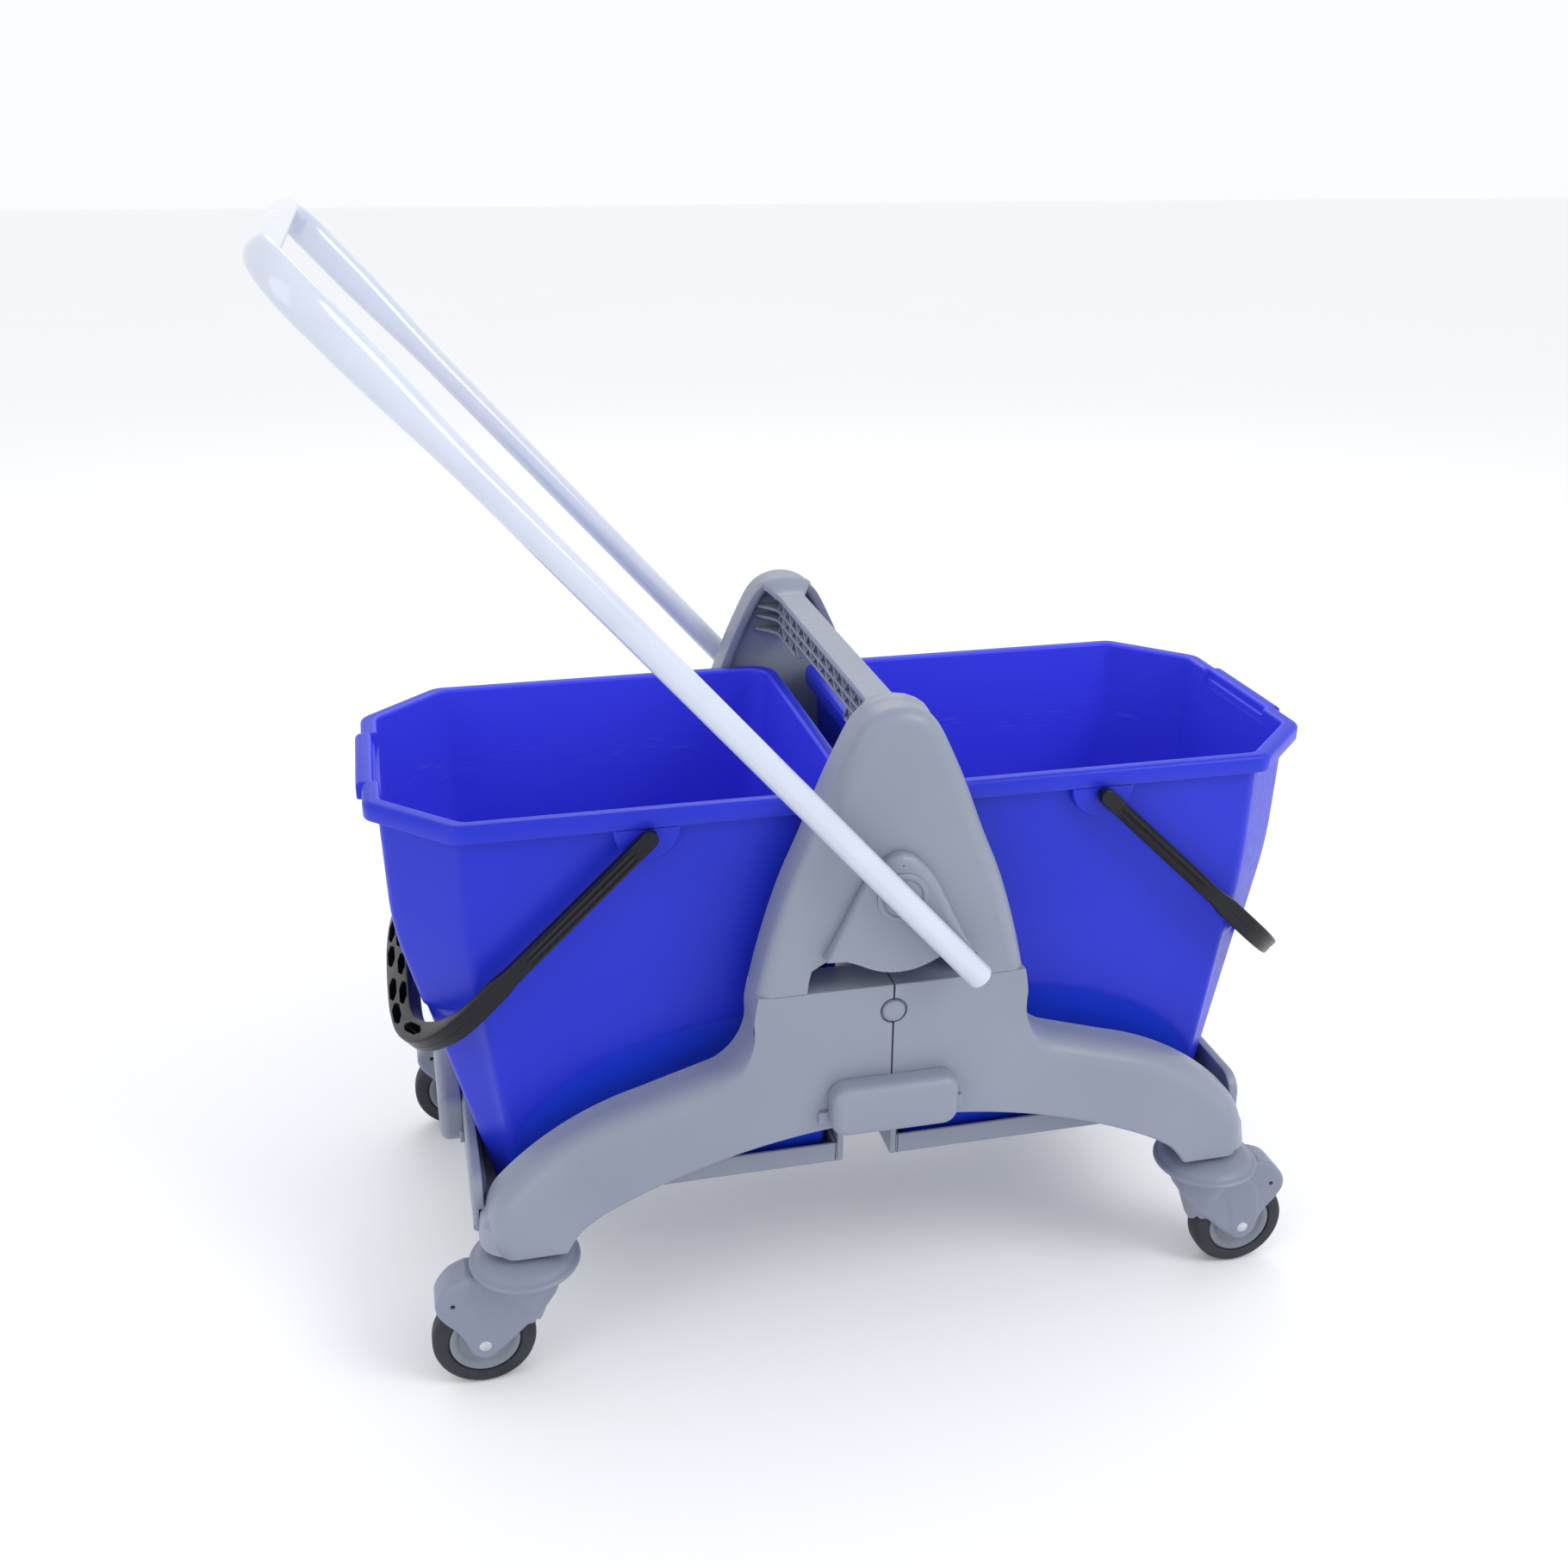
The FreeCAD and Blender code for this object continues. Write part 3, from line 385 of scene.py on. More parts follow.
def mix(tree, share, first, second):
    """Two colours, or a colour output and a colour, mixed by a share."""
    node = tree.nodes.new("ShaderNodeMix")
    node.data_type = "RGBA"
    tree.links.new(share, node.inputs["Factor"])
    for value, socket in ((first, node.inputs[6]), (second, node.inputs[7])):
        if isinstance(value, tuple):
            socket.default_value = (*value, 1.0)
        else:
            tree.links.new(value, socket)
    return node.outputs[2]


def calc(tree, operation, *values):
    """One step of arithmetic on outputs or plain numbers."""
    node = tree.nodes.new("ShaderNodeMath")
    node.operation = operation
    for value, socket in zip(values, node.inputs):
        if isinstance(value, float):
            socket.default_value = value
        else:
            tree.links.new(value, socket)
    return node.outputs["Value"]


def painted(tree, shader, share, first, second):
    """Mixes two colours by a share and sends them to the shader."""
    tree.links.new(mix(tree, share, first, second), shader.inputs["Base Color"])


def roughened(tree, shader, value, low, high):
    """Roughness from low to high as the value goes over the middle of its range."""
    tree.links.new(ramp(tree, value, low, high, 0.3, 0.7), shader.inputs["Roughness"])


def bump(tree, shader, layers):
    """Bump layers, each (height, distance in metres, strength), one over another."""
    normal = None
    for height, distance, strength in layers:
        node = tree.nodes.new("ShaderNodeBump")
        node.inputs["Distance"].default_value = distance
        node.inputs["Strength"].default_value = strength
        tree.links.new(height, node.inputs["Height"])
        if normal is not None:
            tree.links.new(normal, node.inputs["Normal"])
        normal = node.outputs["Normal"]
    tree.links.new(normal, shader.inputs["Normal"])


def moulded(name, slot, colour, shade, worn, roughness, grain=0.00004, wear=0.5, gloss=0.5):
    """Injection-moulded plastic: mottled colour, fine grain, faint sink marks, pale worn edges."""
    material, tree, shader, where = new_material(name, slot)
    shader.inputs["Specular IOR Level"].default_value = gloss
    broad = noise(tree, where, 9.0, 3.0)
    fine = noise(tree, where, 160.0, 6.0, rough=0.7)
    specks = noise(tree, where, 1400.0, 2.0)
    body = mix(tree, ramp(tree, broad, 0.0, 1.0, 0.32, 0.68), colour, shade)
    geometry = tree.nodes.new("ShaderNodeNewGeometry")
    edge = ramp(tree, geometry.outputs["Pointiness"], 0.0, wear, 0.53, 0.62)
    rubbed = calc(tree, "MULTIPLY", edge, ramp(tree, fine, 0.2, 1.0, 0.35, 0.7))
    painted(tree, shader, rubbed, body, worn)
    roughened(tree, shader, fine, roughness - 0.05, roughness + 0.08)
    bump(tree, shader, [(broad, SINK_MARKS, 0.5), (specks, grain, 0.6)])
    return material


def linear(red, green, blue):
    """A colour given as it looks on screen, 0 to 255, as the shader needs it."""
    shares = [c / 255 for c in (red, green, blue)]
    return tuple(c / 12.92 if c <= 0.04 else ((c + 0.055) / 1.055) ** 2.4 for c in shares)


GREY = moulded("grey_plastic", "grey_plastic", linear(134, 141, 157), linear(129, 136, 152),
               linear(158, 164, 177), 0.38)
FORK_GREY = moulded("fork_plastic", "grey_plastic", linear(124, 131, 149), linear(118, 125, 143),
                    linear(150, 156, 170), 0.38)
HUB_GREY = moulded("hub_plastic", "hub_plastic", linear(118, 126, 136), linear(108, 116, 126),
                   linear(146, 152, 158), 0.42)
BLACK = moulded("black_plastic", "black_plastic", linear(19, 20, 28), linear(15, 15, 21),
                linear(54, 56, 66), 0.30, grain=0.00006, wear=0.35, gloss=0.25)


def bucket_plastic():
    """Satin coloured plastic: painted shade in a deeper blue below the moulded arch, painted light on the inner
    faces, and a scuffed tide line inside.
    """
    material, tree, shader, where = new_material("blue_plastic", "blue_plastic")
    broad = noise(tree, where, 6.0, 2.0)
    fine = noise(tree, where, 120.0, 6.0, rough=0.7)
    specks = noise(tree, where, 1200.0, 2.0)
    streaks = noise(tree, where, 60.0, 8.0, (0.6, 0.6, 9.0), 0.65)
    shader.inputs["Specular IOR Level"].default_value = 0.22
    body = mix(tree, ramp(tree, broad, 0.0, 1.0, 0.3, 0.7), linear(36, 50, 196), linear(30, 44, 190))
    parts = split(tree, where)
    height = parts["Z"]
    across = calc(tree, "ABSOLUTE", parts["X"])
    spread = tree.nodes.new("ShaderNodeCombineXYZ")
    for value, middle, half, axis in ((across, ARCH_X, ARCH_HALF, "X"), (height, ARCH_Z, ARCH_HIGH, "Y")):
        share = ramp(tree, value, 0.0, 1.0, middle * MM, (middle + half) * MM, False)
        tree.links.new(share, spread.inputs[axis])
    reach = tree.nodes.new("ShaderNodeVectorMath")
    reach.operation = "LENGTH"
    tree.links.new(spread.outputs["Vector"], reach.inputs[0])
    # Painted shade: below the moulded arch, where the base panel in front shades the wall, the plastic is painted
    # a deeper blue.
    under = ramp(tree, reach.outputs["Value"], 1.0, 0.0, 0.975, 0.995)
    body = mix(tree, under, body, linear(26, 56, 206))
    facing = split(tree, tree.nodes.new("ShaderNodeTexCoord").outputs["Normal"])
    along = calc(tree, "MULTIPLY", calc(tree, "SIGN", parts["X"]), facing["X"])
    outward = calc(tree, "ADD", calc(tree, "MULTIPLY", calc(tree, "SUBTRACT", across, 0.19), along),
                   calc(tree, "MULTIPLY", parts["Y"], facing["Y"]))
    inside = ramp(tree, outward, 1.0, 0.0, -0.03, -0.01)
    # Painted light: the bucket's inner faces are painted a lighter blue than its outside.
    body = mix(tree, inside, body, linear(62, 66, 226))
    tide = calc(tree, "MULTIPLY", ramp(tree, height, 0.0, 1.0, 0.370, 0.385),
                ramp(tree, height, 1.0, 0.0, 0.395, 0.418))
    far_inside = calc(tree, "MULTIPLY", inside, ramp(tree, parts["Y"], 0.0, 1.0, 0.05, 0.12))
    scuffs = calc(tree, "MULTIPLY", calc(tree, "MULTIPLY", tide, far_inside),
                  ramp(tree, streaks, 0.0, 0.7, 0.55, 0.66))
    geometry = tree.nodes.new("ShaderNodeNewGeometry")
    edge = ramp(tree, geometry.outputs["Pointiness"], 0.0, 0.5, 0.52, 0.60)
    scuffed = mix(tree, scuffs, body, linear(88, 92, 214))
    painted(tree, shader, edge, scuffed, linear(84, 80, 220))
    roughened(tree, shader, fine, 0.30, 0.40)
    bump(tree, shader, [(broad, 0.0003, 0.4), (specks, 0.000015, 0.4)])
    return material


def handle_coat():
    """Glossy powder coat over steel tube, with a fine orange peel."""
    material, tree, shader, where = new_material("handle_coat", "handle_coat")
    peel = noise(tree, where, 900.0, 3.0)
    dust = noise(tree, where, 26.0, 6.0)
    fade = ramp(tree, dust, 0.0, 1.0, 0.35, 0.65)
    painted(tree, shader, fade, linear(198, 205, 219), linear(193, 200, 215))
    roughened(tree, shader, dust, 0.16, 0.24)
    shader.inputs["Coat Weight"].default_value = 0.6
    shader.inputs["Coat Roughness"].default_value = 0.06
    bump(tree, shader, [(peel, 0.000004, 0.2)])
    return material


def bright_steel():
    """Zinc-bright steel with faint turning marks."""
    material, tree, shader, where = new_material("steel", "steel")
    marks = noise(tree, where, 300.0, 6.0)
    shader.inputs["Metallic"].default_value = 1.0
    painted(tree, shader, marks, linear(214, 217, 222), linear(180, 184, 190))
    roughened(tree, shader, marks, 0.14, 0.30)
    bump(tree, shader, [(marks, 0.00002, 0.3)])
    return material


def tyre_rubber():
    """Hard dark rubber, matt, with dust on its tread."""
    material, tree, shader, where = new_material("tyre", "tyre")
    shader.inputs["Specular IOR Level"].default_value = 0.22
    broad = noise(tree, where, 40.0, 5.0)
    fine = noise(tree, where, 900.0, 3.0)
    painted(tree, shader, ramp(tree, broad, 0.0, 1.0, 0.35, 0.7), linear(44, 46, 52), linear(58, 60, 67))
    roughened(tree, shader, broad, 0.50, 0.68)
    bump(tree, shader, [(fine, 0.00008, 0.6)])
    return material


BLUE = bucket_plastic()
COAT = handle_coat()
STEEL = bright_steel()
RUBBER = tyre_rubber()


# ------------------------------------------------------------------ buckets

BUCKET_LOW, BUCKET_HIGH = node_box("bucket_right")
RIM_TOP = BUCKET_HIGH.z
RIM_HALF = BUCKET_HIGH.y
RIM_IN = BUCKET_LOW.x
LUG = 4.5                                   # how far the pouring lug stands out from the rim
RIM_OUT = BUCKET_HIGH.x - LUG
RIM_CHAMFER = 61.0
RIM_DEEP = 14.0
FLANGE = 8.0                                # how far the rim stands out from the wall
WALL = 3.0
LUG_HALF = 52.0
BEND_Z = 350.0                              # height where the outer end starts to slope in
STEP_Z = 287.0                              # height of the soft step round the outer end


def bucket_sizes(z):
    """Inner end, outer end, half width and chamfer of the wall's outer face at a height."""
    inner = between(z, ((BUCKET_LOW.z, RIM_IN + 17), (BEND_Z, RIM_IN + 11), (RIM_TOP, RIM_IN + FLANGE)))
    outer = bent(z, ((BUCKET_LOW.z, RIM_OUT - 75), (BEND_Z, RIM_OUT - 13), (RIM_TOP, RIM_OUT - 10)), 26)
    half = between(z, ((BUCKET_LOW.z, RIM_HALF - 21), (BEND_Z, RIM_HALF - 12), (RIM_TOP, RIM_HALF - FLANGE)))
    chamfer = bent(z, ((BUCKET_LOW.z, 18.0), (BEND_Z, 54.0), (RIM_TOP, 57.0)), 26)
    return inner, outer, half, chamfer


def bucket_plan(inner, outer, half, chamfer, radius=14.0, inner_radius=20.0):
    """One level of a bucket: six rounded corners, and points along the sides between them."""
    near_side = [(inner, -half, inner_radius), (outer - chamfer, -half, radius),
                 (outer, -half + chamfer, radius)]
    corners = soften(near_side + [(x, -y, r) for x, y, r in near_side[::-1]])
    lug_edge = [LUG_HALF + 4, LUG_HALF + 0.7, LUG_HALF - 0.7, LUG_HALF - 4, 30.0, 10.0]
    end_stops = [-y for y in lug_edge] + lug_edge[::-1]
    per_corner = len(corners) // 6
    ring = []
    for side in range(6):
        ring += corners[side * per_corner:(side + 1) * per_corner]
        start = corners[(side + 1) * per_corner - 1]
        end = corners[(side + 1) * per_corner % len(corners)]
        if side == 2:
            shares = [(y - start[1]) / (end[1] - start[1]) for y in end_stops]
        else:
            count = {0: 60, 1: 6, 3: 6, 4: 60, 5: 20}[side]
            shares = [k / (count + 1) for k in range(1, count + 1)]
        ring += [(start[0] + (end[0] - start[0]) * s, start[1] + (end[1] - start[1]) * s) for s in shares]
    return ring


def bucket_relief(x, y, z, outer, half, chamfer):
    """How far the wall is drawn in at a point: below a soft step round the outer end, and
    inside a shallow arch low on each long side."""
    along = x - (outer - chamfer)
    round_off = 22.0
    lift = round_off - math.sqrt(max(round_off ** 2 - max(round_off - along, 0.0) ** 2, 0.0))
    step = 2.4 * smooth_step(along, -3.0, 9.0) * smooth_step(STEP_Z + lift - z, -2.5, 2.5)
    share = math.hypot((x - ARCH_X) / ARCH_HALF, max(z - ARCH_Z, 0.0) / ARCH_HIGH)
    on_side = smooth_step(abs(y), half - 4, half - 1)
    arch = 4.5 * (1 - math.exp(-max(1 - share, 0.0) * ARCH_HIGH / 14.0)) * on_side
    return step, arch


def wall_ring(z, offset=0.0, shrink=0.0):
    """The wall at one height, moved in by an offset and with its relief."""
    inner, outer, half, chamfer = bucket_sizes(z)
    move = offset + shrink
    plan = bucket_plan(inner + move, outer - move, half - move, chamfer - 0.586 * move,
                       max(14 - 0.4 * offset, 4), max(20 - offset, 4))
    middle = Vector((120.0, 0.0))
    ring = []
    for x, y in plan:
        step, arch = bucket_relief(x, y, z, outer, half - move, chamfer)
        inward = (middle - Vector((x, y))).normalized()
        ring.append((x + inward.x * step, y + inward.y * step - math.copysign(arch, y), z))
    return ring


def with_lug(ring, amount=1.0):
    """The rim's ring with the pouring lug pushed out of its outer end."""
    return [(x + LUG * amount * (1 - smooth_step(abs(y), LUG_HALF - 1, LUG_HALF + 1)), y, z)
            if x > RIM_OUT - 22 else (x, y, z) for x, y, z in ring]


def rim_ring(share, z):
    """The rim at a height: share 0 is the wall's outer face and 1 the edge of the flange."""
    inner, outer, half, chamfer = bucket_sizes(RIM_TOP)
    wall = bucket_plan(inner, outer, half, chamfer)
    edge = bucket_plan(RIM_IN, RIM_OUT, RIM_HALF, RIM_CHAMFER, 16.0, 22.0)
    ring = [(a[0] + (b[0] - a[0]) * share, a[1] + (b[1] - a[1]) * share, z) for a, b in zip(wall, edge)]
    return with_lug(ring)


def bucket_solid():
    """The right bucket as one closed skin: inside, over the rolled rim and down the outside."""
    floor = BUCKET_LOW.z
    rim_low = RIM_TOP - RIM_DEEP
    rings = [wall_ring(floor + WALL, WALL, 12.0)]
    for angle in quarter(4):
        rings.append(wall_ring(floor + WALL + 8 * (1 - math.cos(angle)), WALL, 8 * (1 - math.sin(angle))))
    low = floor + WALL + 8
    levels = 90
    for k in range(1, levels + 1):
        rings.append(wall_ring(low + (rim_low - low) * k / levels, WALL))
    crown = 2.6
    rings.append(wall_ring(rim_low + 0.6, WALL))
    rings += [with_lug(wall_ring(z, WALL)) for z in (rim_low + 1.0, RIM_TOP - 3, RIM_TOP - crown)]
    for angle in quarter(5)[1:]:
        move = WALL - crown * (1 - math.cos(angle))
        level = with_lug(wall_ring(RIM_TOP - crown, move))
        rings.append([(x, y, RIM_TOP - crown + crown * math.sin(angle)) for x, y, z in level])
    for angle in quarter(6):
        rings.append(rim_ring(0.52 + 0.48 * math.sin(angle), RIM_TOP - 4 + 4 * math.cos(angle)))
    rings += [rim_ring(1.0, rim_low + 1.2), rim_ring(0.95, rim_low + 0.3), rim_ring(0.85, rim_low),
              rim_ring(0.74, rim_low + 0.4), rim_ring(0.7, rim_low + 6), rim_ring(0.55, rim_low + 7.5),
              with_lug(wall_ring(rim_low + 7.5, 0.0), 0.6)]
    top = rim_low + 5
    low = floor + 9
    for k in range(levels + 1):
        rings.append(wall_ring(top + (low - top) * k / levels))
    for angle in quarter(5)[1:]:
        rings.append(wall_ring(floor + 9 * (1 - math.sin(angle)), 0.0, 9 * (1 - math.cos(angle))))
    rings.append(wall_ring(floor, 0.0, 14.0))
    return loft(rings)


def bail_boss():
    """The half-round pad under the rim that carries one bail pin."""
    pivot_x = joint_place("right_bail_swing")[0]
    radius = 25.0
    top = RIM_TOP - RIM_DEEP + 2
    curve = arc((pivot_x - radius, top - 2), (pivot_x, top - 2 - radius), (pivot_x + radius, top - 2), 28)
    outline = [(pivot_x - radius, top)] + curve + [(pivot_x + radius, top)]
    return plate(outline, -RIM_HALF + 9.5, -RIM_HALF + 0.8, 1.6, 1.6)


bucket_parts = [bucket_solid(), bail_boss(), flipped(bail_boss(), y=-1)]
for side, sign in (("right", 1), ("left", -1)):
    piece(f"{side}_bucket_shell", [flipped(s, x=sign) for s in bucket_parts], f"{side}_bucket", BLUE,
          [f"bucket_{side}"], 32)


# ------------------------------------------------------------------ base

BASE_LOW, BASE_HIGH = node_box("base_half_right")
JOINT_Z = BASE_HIGH.z
LEG_Z = BASE_LOW.z
BEAM_X = BASE_HIGH.x
YOKE_HIGH = node_box("yoke")[1]
FACE = YOKE_HIGH.y                          # the side panels' and towers' outer face
BACK = FACE - 37.0
FOOT = YOKE_HIGH.x                          # half width of a tower where it meets the base
SKIN = 4.0
SEAM = 0.8                                  # half the gap between the two base halves


def panel_top():
    """The upper outline of one panel, from the seam round the leg to its foot."""
    corner = (FOOT + 3, JOINT_Z - 17)
    line = [(SEAM, JOINT_Z), (FOOT, JOINT_Z), corner]
    line += arc(corner, (FOOT + 9, JOINT_Z - 50), (FOOT + 27, JOINT_Z - 67), 8)[1:]
    line += arc((190, 232), (254, 205), (300, 168), 16)
    line += arc((300, 168), (310, 146), (308, LEG_Z), 8)[1:]
    return line


def panel_low():
    """The lower outline of the same panel, from the seam to the inside of the leg."""
    return arc((SEAM, 198), (130, 181), (236, 139), 24) + arc((236, 139), (246, 131), (252, LEG_Z), 6)[1:]


def panel_section(top, low, share):
    """The closed C-shaped section of a panel between a point on its top and one on its low edge.
    Its edges are softer away from the seam, and the leg flares towards its foot."""
    reach = 1.2 + 14.0 * smooth_step(share, 0.26, 0.42) + 2.0 * smooth_step(share, 0.8, 0.95)
    depth = 1.2 + 22.0 * smooth_step(share, 0.26, 0.42) + 6.0 * smooth_step(share, 0.8, 0.95)
    flare = 7.0 * smooth_step(share, 0.72, 1.0)
    under = 2.5
    face = FACE + flare
    across = math.dist(top, low)
    down = ((low[0] - top[0]) / across, (low[1] - top[1]) / across)
    outer = []
    for angle in quarter(8):
        outer.append((reach * (1 - math.cos(angle)), face - depth * (1 - math.sin(angle))))
    flat = across - reach - under
    outer += [(reach + flat * k / 14, face) for k in range(1, 15)]
    for angle in quarter(4)[1:]:
        outer.append((across - under * (1 - math.sin(angle)), face - under * (1 - math.cos(angle))))
    inner = [(across - SKIN, BACK), (across - SKIN, face - SKIN - 3), (across - SKIN - 3, face - SKIN)]
    inner += [(SKIN + reach * 0.6, face - SKIN), (SKIN, face - SKIN - depth * 0.7), (SKIN, BACK)]
    section = [(0.0, BACK)] + outer + [(across, BACK)] + inner
    return [(top[0] + down[0] * s, -y, top[1] + down[1] * s) for s, y in section]


def side_panel():
    """The near panel of the right base half, swept from the seam out to the foot of the leg."""
    count = 90
    tops = resample(panel_top(), count)
    lows = panel_low()
    low_x = [p[0] for p in lows]
    reached = ((0.0, SEAM), (0.235, 98.0), (0.28, 104.0), (0.42, 128.0), (0.56, 178.0), (0.74, 222.0),
               (0.86, 240.0), (0.93, 247.0), (1.0, 252.0))
    rings = []
    for k, top in enumerate(tops):
        share = k / (count - 1)
        x = between(share, reached)
        i = max(n for n, value in enumerate(low_x) if value <= x + 1e-6)
        i = min(i, len(lows) - 2)
        part = (x - low_x[i]) / (low_x[i + 1] - low_x[i])
        low = (x, lows[i][1] + (lows[i + 1][1] - lows[i][1]) * part)
        rings.append(panel_section(top, low, share))
    return loft(rings)


def leg_foot():
    """The closed foot of a leg: it fills the panel's end and rounds the corner to the end beam."""
    corner = 26.0
    rings = []
    for rise, grow in ((0.0, -1.0), (0.5, 0.0), (18, -2.5), (34, -16.0), (43, -32.0)):
        x0 = BEAM_X - 66
        x1 = BEAM_X - 3 + grow
        y0 = -(FACE + 6 + grow)
        y1 = -BACK + 14
        plan = soften([(x0 + 2, y0 + 6, 6), (x1, y0, corner), (x1, y1, 3), (x0 + 2, y1, 6)], 8)
        rings.append([(x, y, LEG_Z + rise) for x, y in plan])
    return loft(rings)


BEAM_IN = BEAM_X - 9.0
BEAM_TOP = 168.0
DIVIDER_X = node_box("floor_tray_right")[0].x
DIVIDER_TOP = 236.0
PLUG_LOW, PLUG_HIGH = node_box("seam_plug_near")
PLUG_RADIUS = PLUG_HIGH.x
GROOVE_IN = PLUG_RADIUS - 0.6
GROOVE_OUT = PLUG_RADIUS + 1.1
plug_groove = turned([(GROOVE_IN, -2.5), (GROOVE_OUT, -2.5), (GROOVE_OUT, 3), (GROOVE_IN, 3)],
                     (0, -FACE, (PLUG_LOW.z + PLUG_HIGH.z) / 2), (0, -1, 0), 64)
grooved_panel = as_solid(carved([side_panel()], [plug_groove]))
base_parts = []
for sign in (-1, 1):
    base_parts.append(flipped(grooved_panel, y=-sign))
    base_parts.append(flipped(leg_foot(), y=-sign))
BEAM_HALF = BACK + 3
beam_line = soften([(-BEAM_HALF, LEG_Z, 1), (BEAM_HALF, LEG_Z, 1), (BEAM_HALF, BEAM_TOP, 18),
                    (-BEAM_HALF, BEAM_TOP, 18)], 10)
base_parts.append(stood(plate(beam_line, 0, BEAM_IN - BEAM_X, 3.5, 3.5), (BEAM_IN, 0, 0), 90))
base_parts.append(slab((BEAM_IN - 4, -BACK - 3, LEG_Z), (BEAM_X - 3, BACK + 3, LEG_Z + 22), 1.5))
base_parts.append(slab((DIVIDER_X - 5, -BACK - 1, 200), (DIVIDER_X, BACK + 1, DIVIDER_TOP), 1.5))
base_parts.append(slab((DIVIDER_X - 5, -137, LEG_Z + 1), (DIVIDER_X, 137, 203), 1.0))
for side, sign in (("right", 1), ("left", -1)):
    piece(f"{side}_base", [flipped(s, x=sign) for s in base_parts], "frame", GREY, [f"base_half_{side}"], 34)


def tray_parts(side):
    """A floor tray: its plate, the strip round it and the ribs under it."""
    low, high = node_box(f"floor_tray_{side}")
    wall = 3.0
    parts = [slab((low.x + 1, low.y + 1, low.z), (high.x - 1, high.y - 1, low.z + 4), 1.2)]
    for y0, y1 in ((low.y, low.y + wall), (high.y - wall, high.y)):
        parts.append(slab((low.x, y0, low.z), (high.x, y1, high.z), 1.2))
    for x0, x1 in ((low.x, low.x + wall), (high.x - wall, high.x)):
        parts.append(slab((x0, low.y, low.z), (x1, high.y, high.z), 1.2))
    return parts


for side in ("left", "right"):
    piece(f"{side}_tray", tray_parts(side), "frame", GREY, [f"floor_tray_{side}"])


def block_solid(width, height, deep):
    """A cushion-shaped clip block standing off from y=0 to y=-deep, with its tabs."""
    half = width / 2
    outline = soften([(-half, 0, 12), (half, 0, 12), (half, height, 12), (-half, height, 12)], 8)
    body = plate(outline, 0.0, -deep, 8.0, 8.0)
    return [body] + [slab((x - 5, -3.5, 6), (x + 5, 0.0, 16), 0.8) for x in (-half - 2.5, half + 2.5)]


for kind, place, heading in (("seam", "near", 0), ("seam", "far", 180),
                             ("end", "left", -90), ("end", "right", 90)):
    node = f"{kind}_block_{place}"
    low, high = node_box(node)
    feet = {0: (0, high.y), 180: (0, low.y), -90: (high.x, 0), 90: (low.x, 0)}
    foot = (*feet[heading], low.z)
    solids = [stood(s, foot, heading) for s in block_solid(100.0, high.z - low.z, 19.0)]
    piece(f"{kind}_clip_{place}", solids, "frame", GREY, [node])

for place, sign in (("near", -1), ("far", 1)):
    low, high = node_box(f"seam_plug_{place}")
    radius = high.x
    middle = (0, sign * FACE, (low.z + high.z) / 2)
    profile = [(0, -8), (radius - 1.5, -8), (radius - 1.5, -0.6), (radius - 0.7, -0.4), (radius - 0.7, 0.8),
               (radius - 1.4, 1.8), (radius - 2.8, 2.6), (radius - 5, 3.2), (0, 3.7)]
    button = turned(profile, middle, (0, sign, 0), 48)
    piece(f"seam_button_{place}", [button], "frame", GREY, [f"seam_plug_{place}"])


# ------------------------------------------------------------------ yoke

APEX = YOKE_HIGH.z
DECK_Z = frame["record"]["mounts"][-1]["pos_m"][2] / MM
DECK_HALF = 11.5
SHELF_THICK = 2.2
RIB_THICK = 1.5
RIB_HALF = 9.6                              # half of a rib's width across the bar


def rounded_line(points, steps=6):
    """A smooth line through points (Catmull-Rom)."""
    line = []
    ends = [points[0]] + list(points) + [points[-1]]
    for p0, p1, p2, p3 in zip(ends, ends[1:], ends[2:], ends[3:]):
        for k in range(steps):
            u = k / steps
            line.append(tuple(0.5 * (2 * b + (c - a) * u + (2 * a - 5 * b + 4 * c - d) * u * u
                                     + (3 * b - a - 3 * c + d) * u ** 3)
                              for a, b, c, d in zip(p0, p1, p2, p3)))
    return line + [tuple(points[-1])]


def relaxed(points, rounds):
    """An open line with its small kinks evened out between fixed ends."""
    for _ in range(rounds):
        trios = zip(points, points[1:], points[2:])
        inside = [tuple((a + 2 * b + c) / 4 for a, b, c in zip(*trio)) for trio in trios]
        points = [points[0]] + inside + [points[-1]]
    return points


def tower_outline():
    """The pointed arch of a tower, anticlockwise from its left foot, with its arched opening."""
    drop = (0, 3, 10, 27, 59, 103, 133, 166, 195, APEX - JOINT_Z)
    half = (0, 12, 26, 35, 50, 67, 80, 91, 99, FOOT)
    right = rounded_line(list(zip(half, [APEX - d for d in drop])), 8)
    left = [(-x, z) for x, z in right[:0:-1]]
    arch_line = relaxed(resample(left + right, 121), 10)
    foot = [(-66, JOINT_Z), (-65, JOINT_Z + 10)]
    foot += arc((-63, JOINT_Z + 18), (0, JOINT_Z + 37), (63, JOINT_Z + 18), 20)
    foot += [(65, JOINT_Z + 10), (66, JOINT_Z)]
    outline = foot + arch_line[::-1]
    weights = []
    for i, (x, z) in enumerate(outline):
        nx, nz = outline[(i + 1) % len(outline)]
        if z <= JOINT_Z + 0.1 and nz <= JOINT_Z + 0.1:
            weights.append(0.03)
        elif max(z, nz) < JOINT_Z + 38 and max(abs(x), abs(nx)) < 67:
            weights.append(0.12)
        else:
            weights.append(1.0)
    return outline, weights


def tower_solid():
    """The near tower: a softly domed face with turned-in sides round a shallow tray."""
    outline, weights = tower_outline()
    return plate(outline, -BACK, -FACE, 13.5, 12.0, weights, rim=9.0, floor=-BACK - 8.5, steps=12)


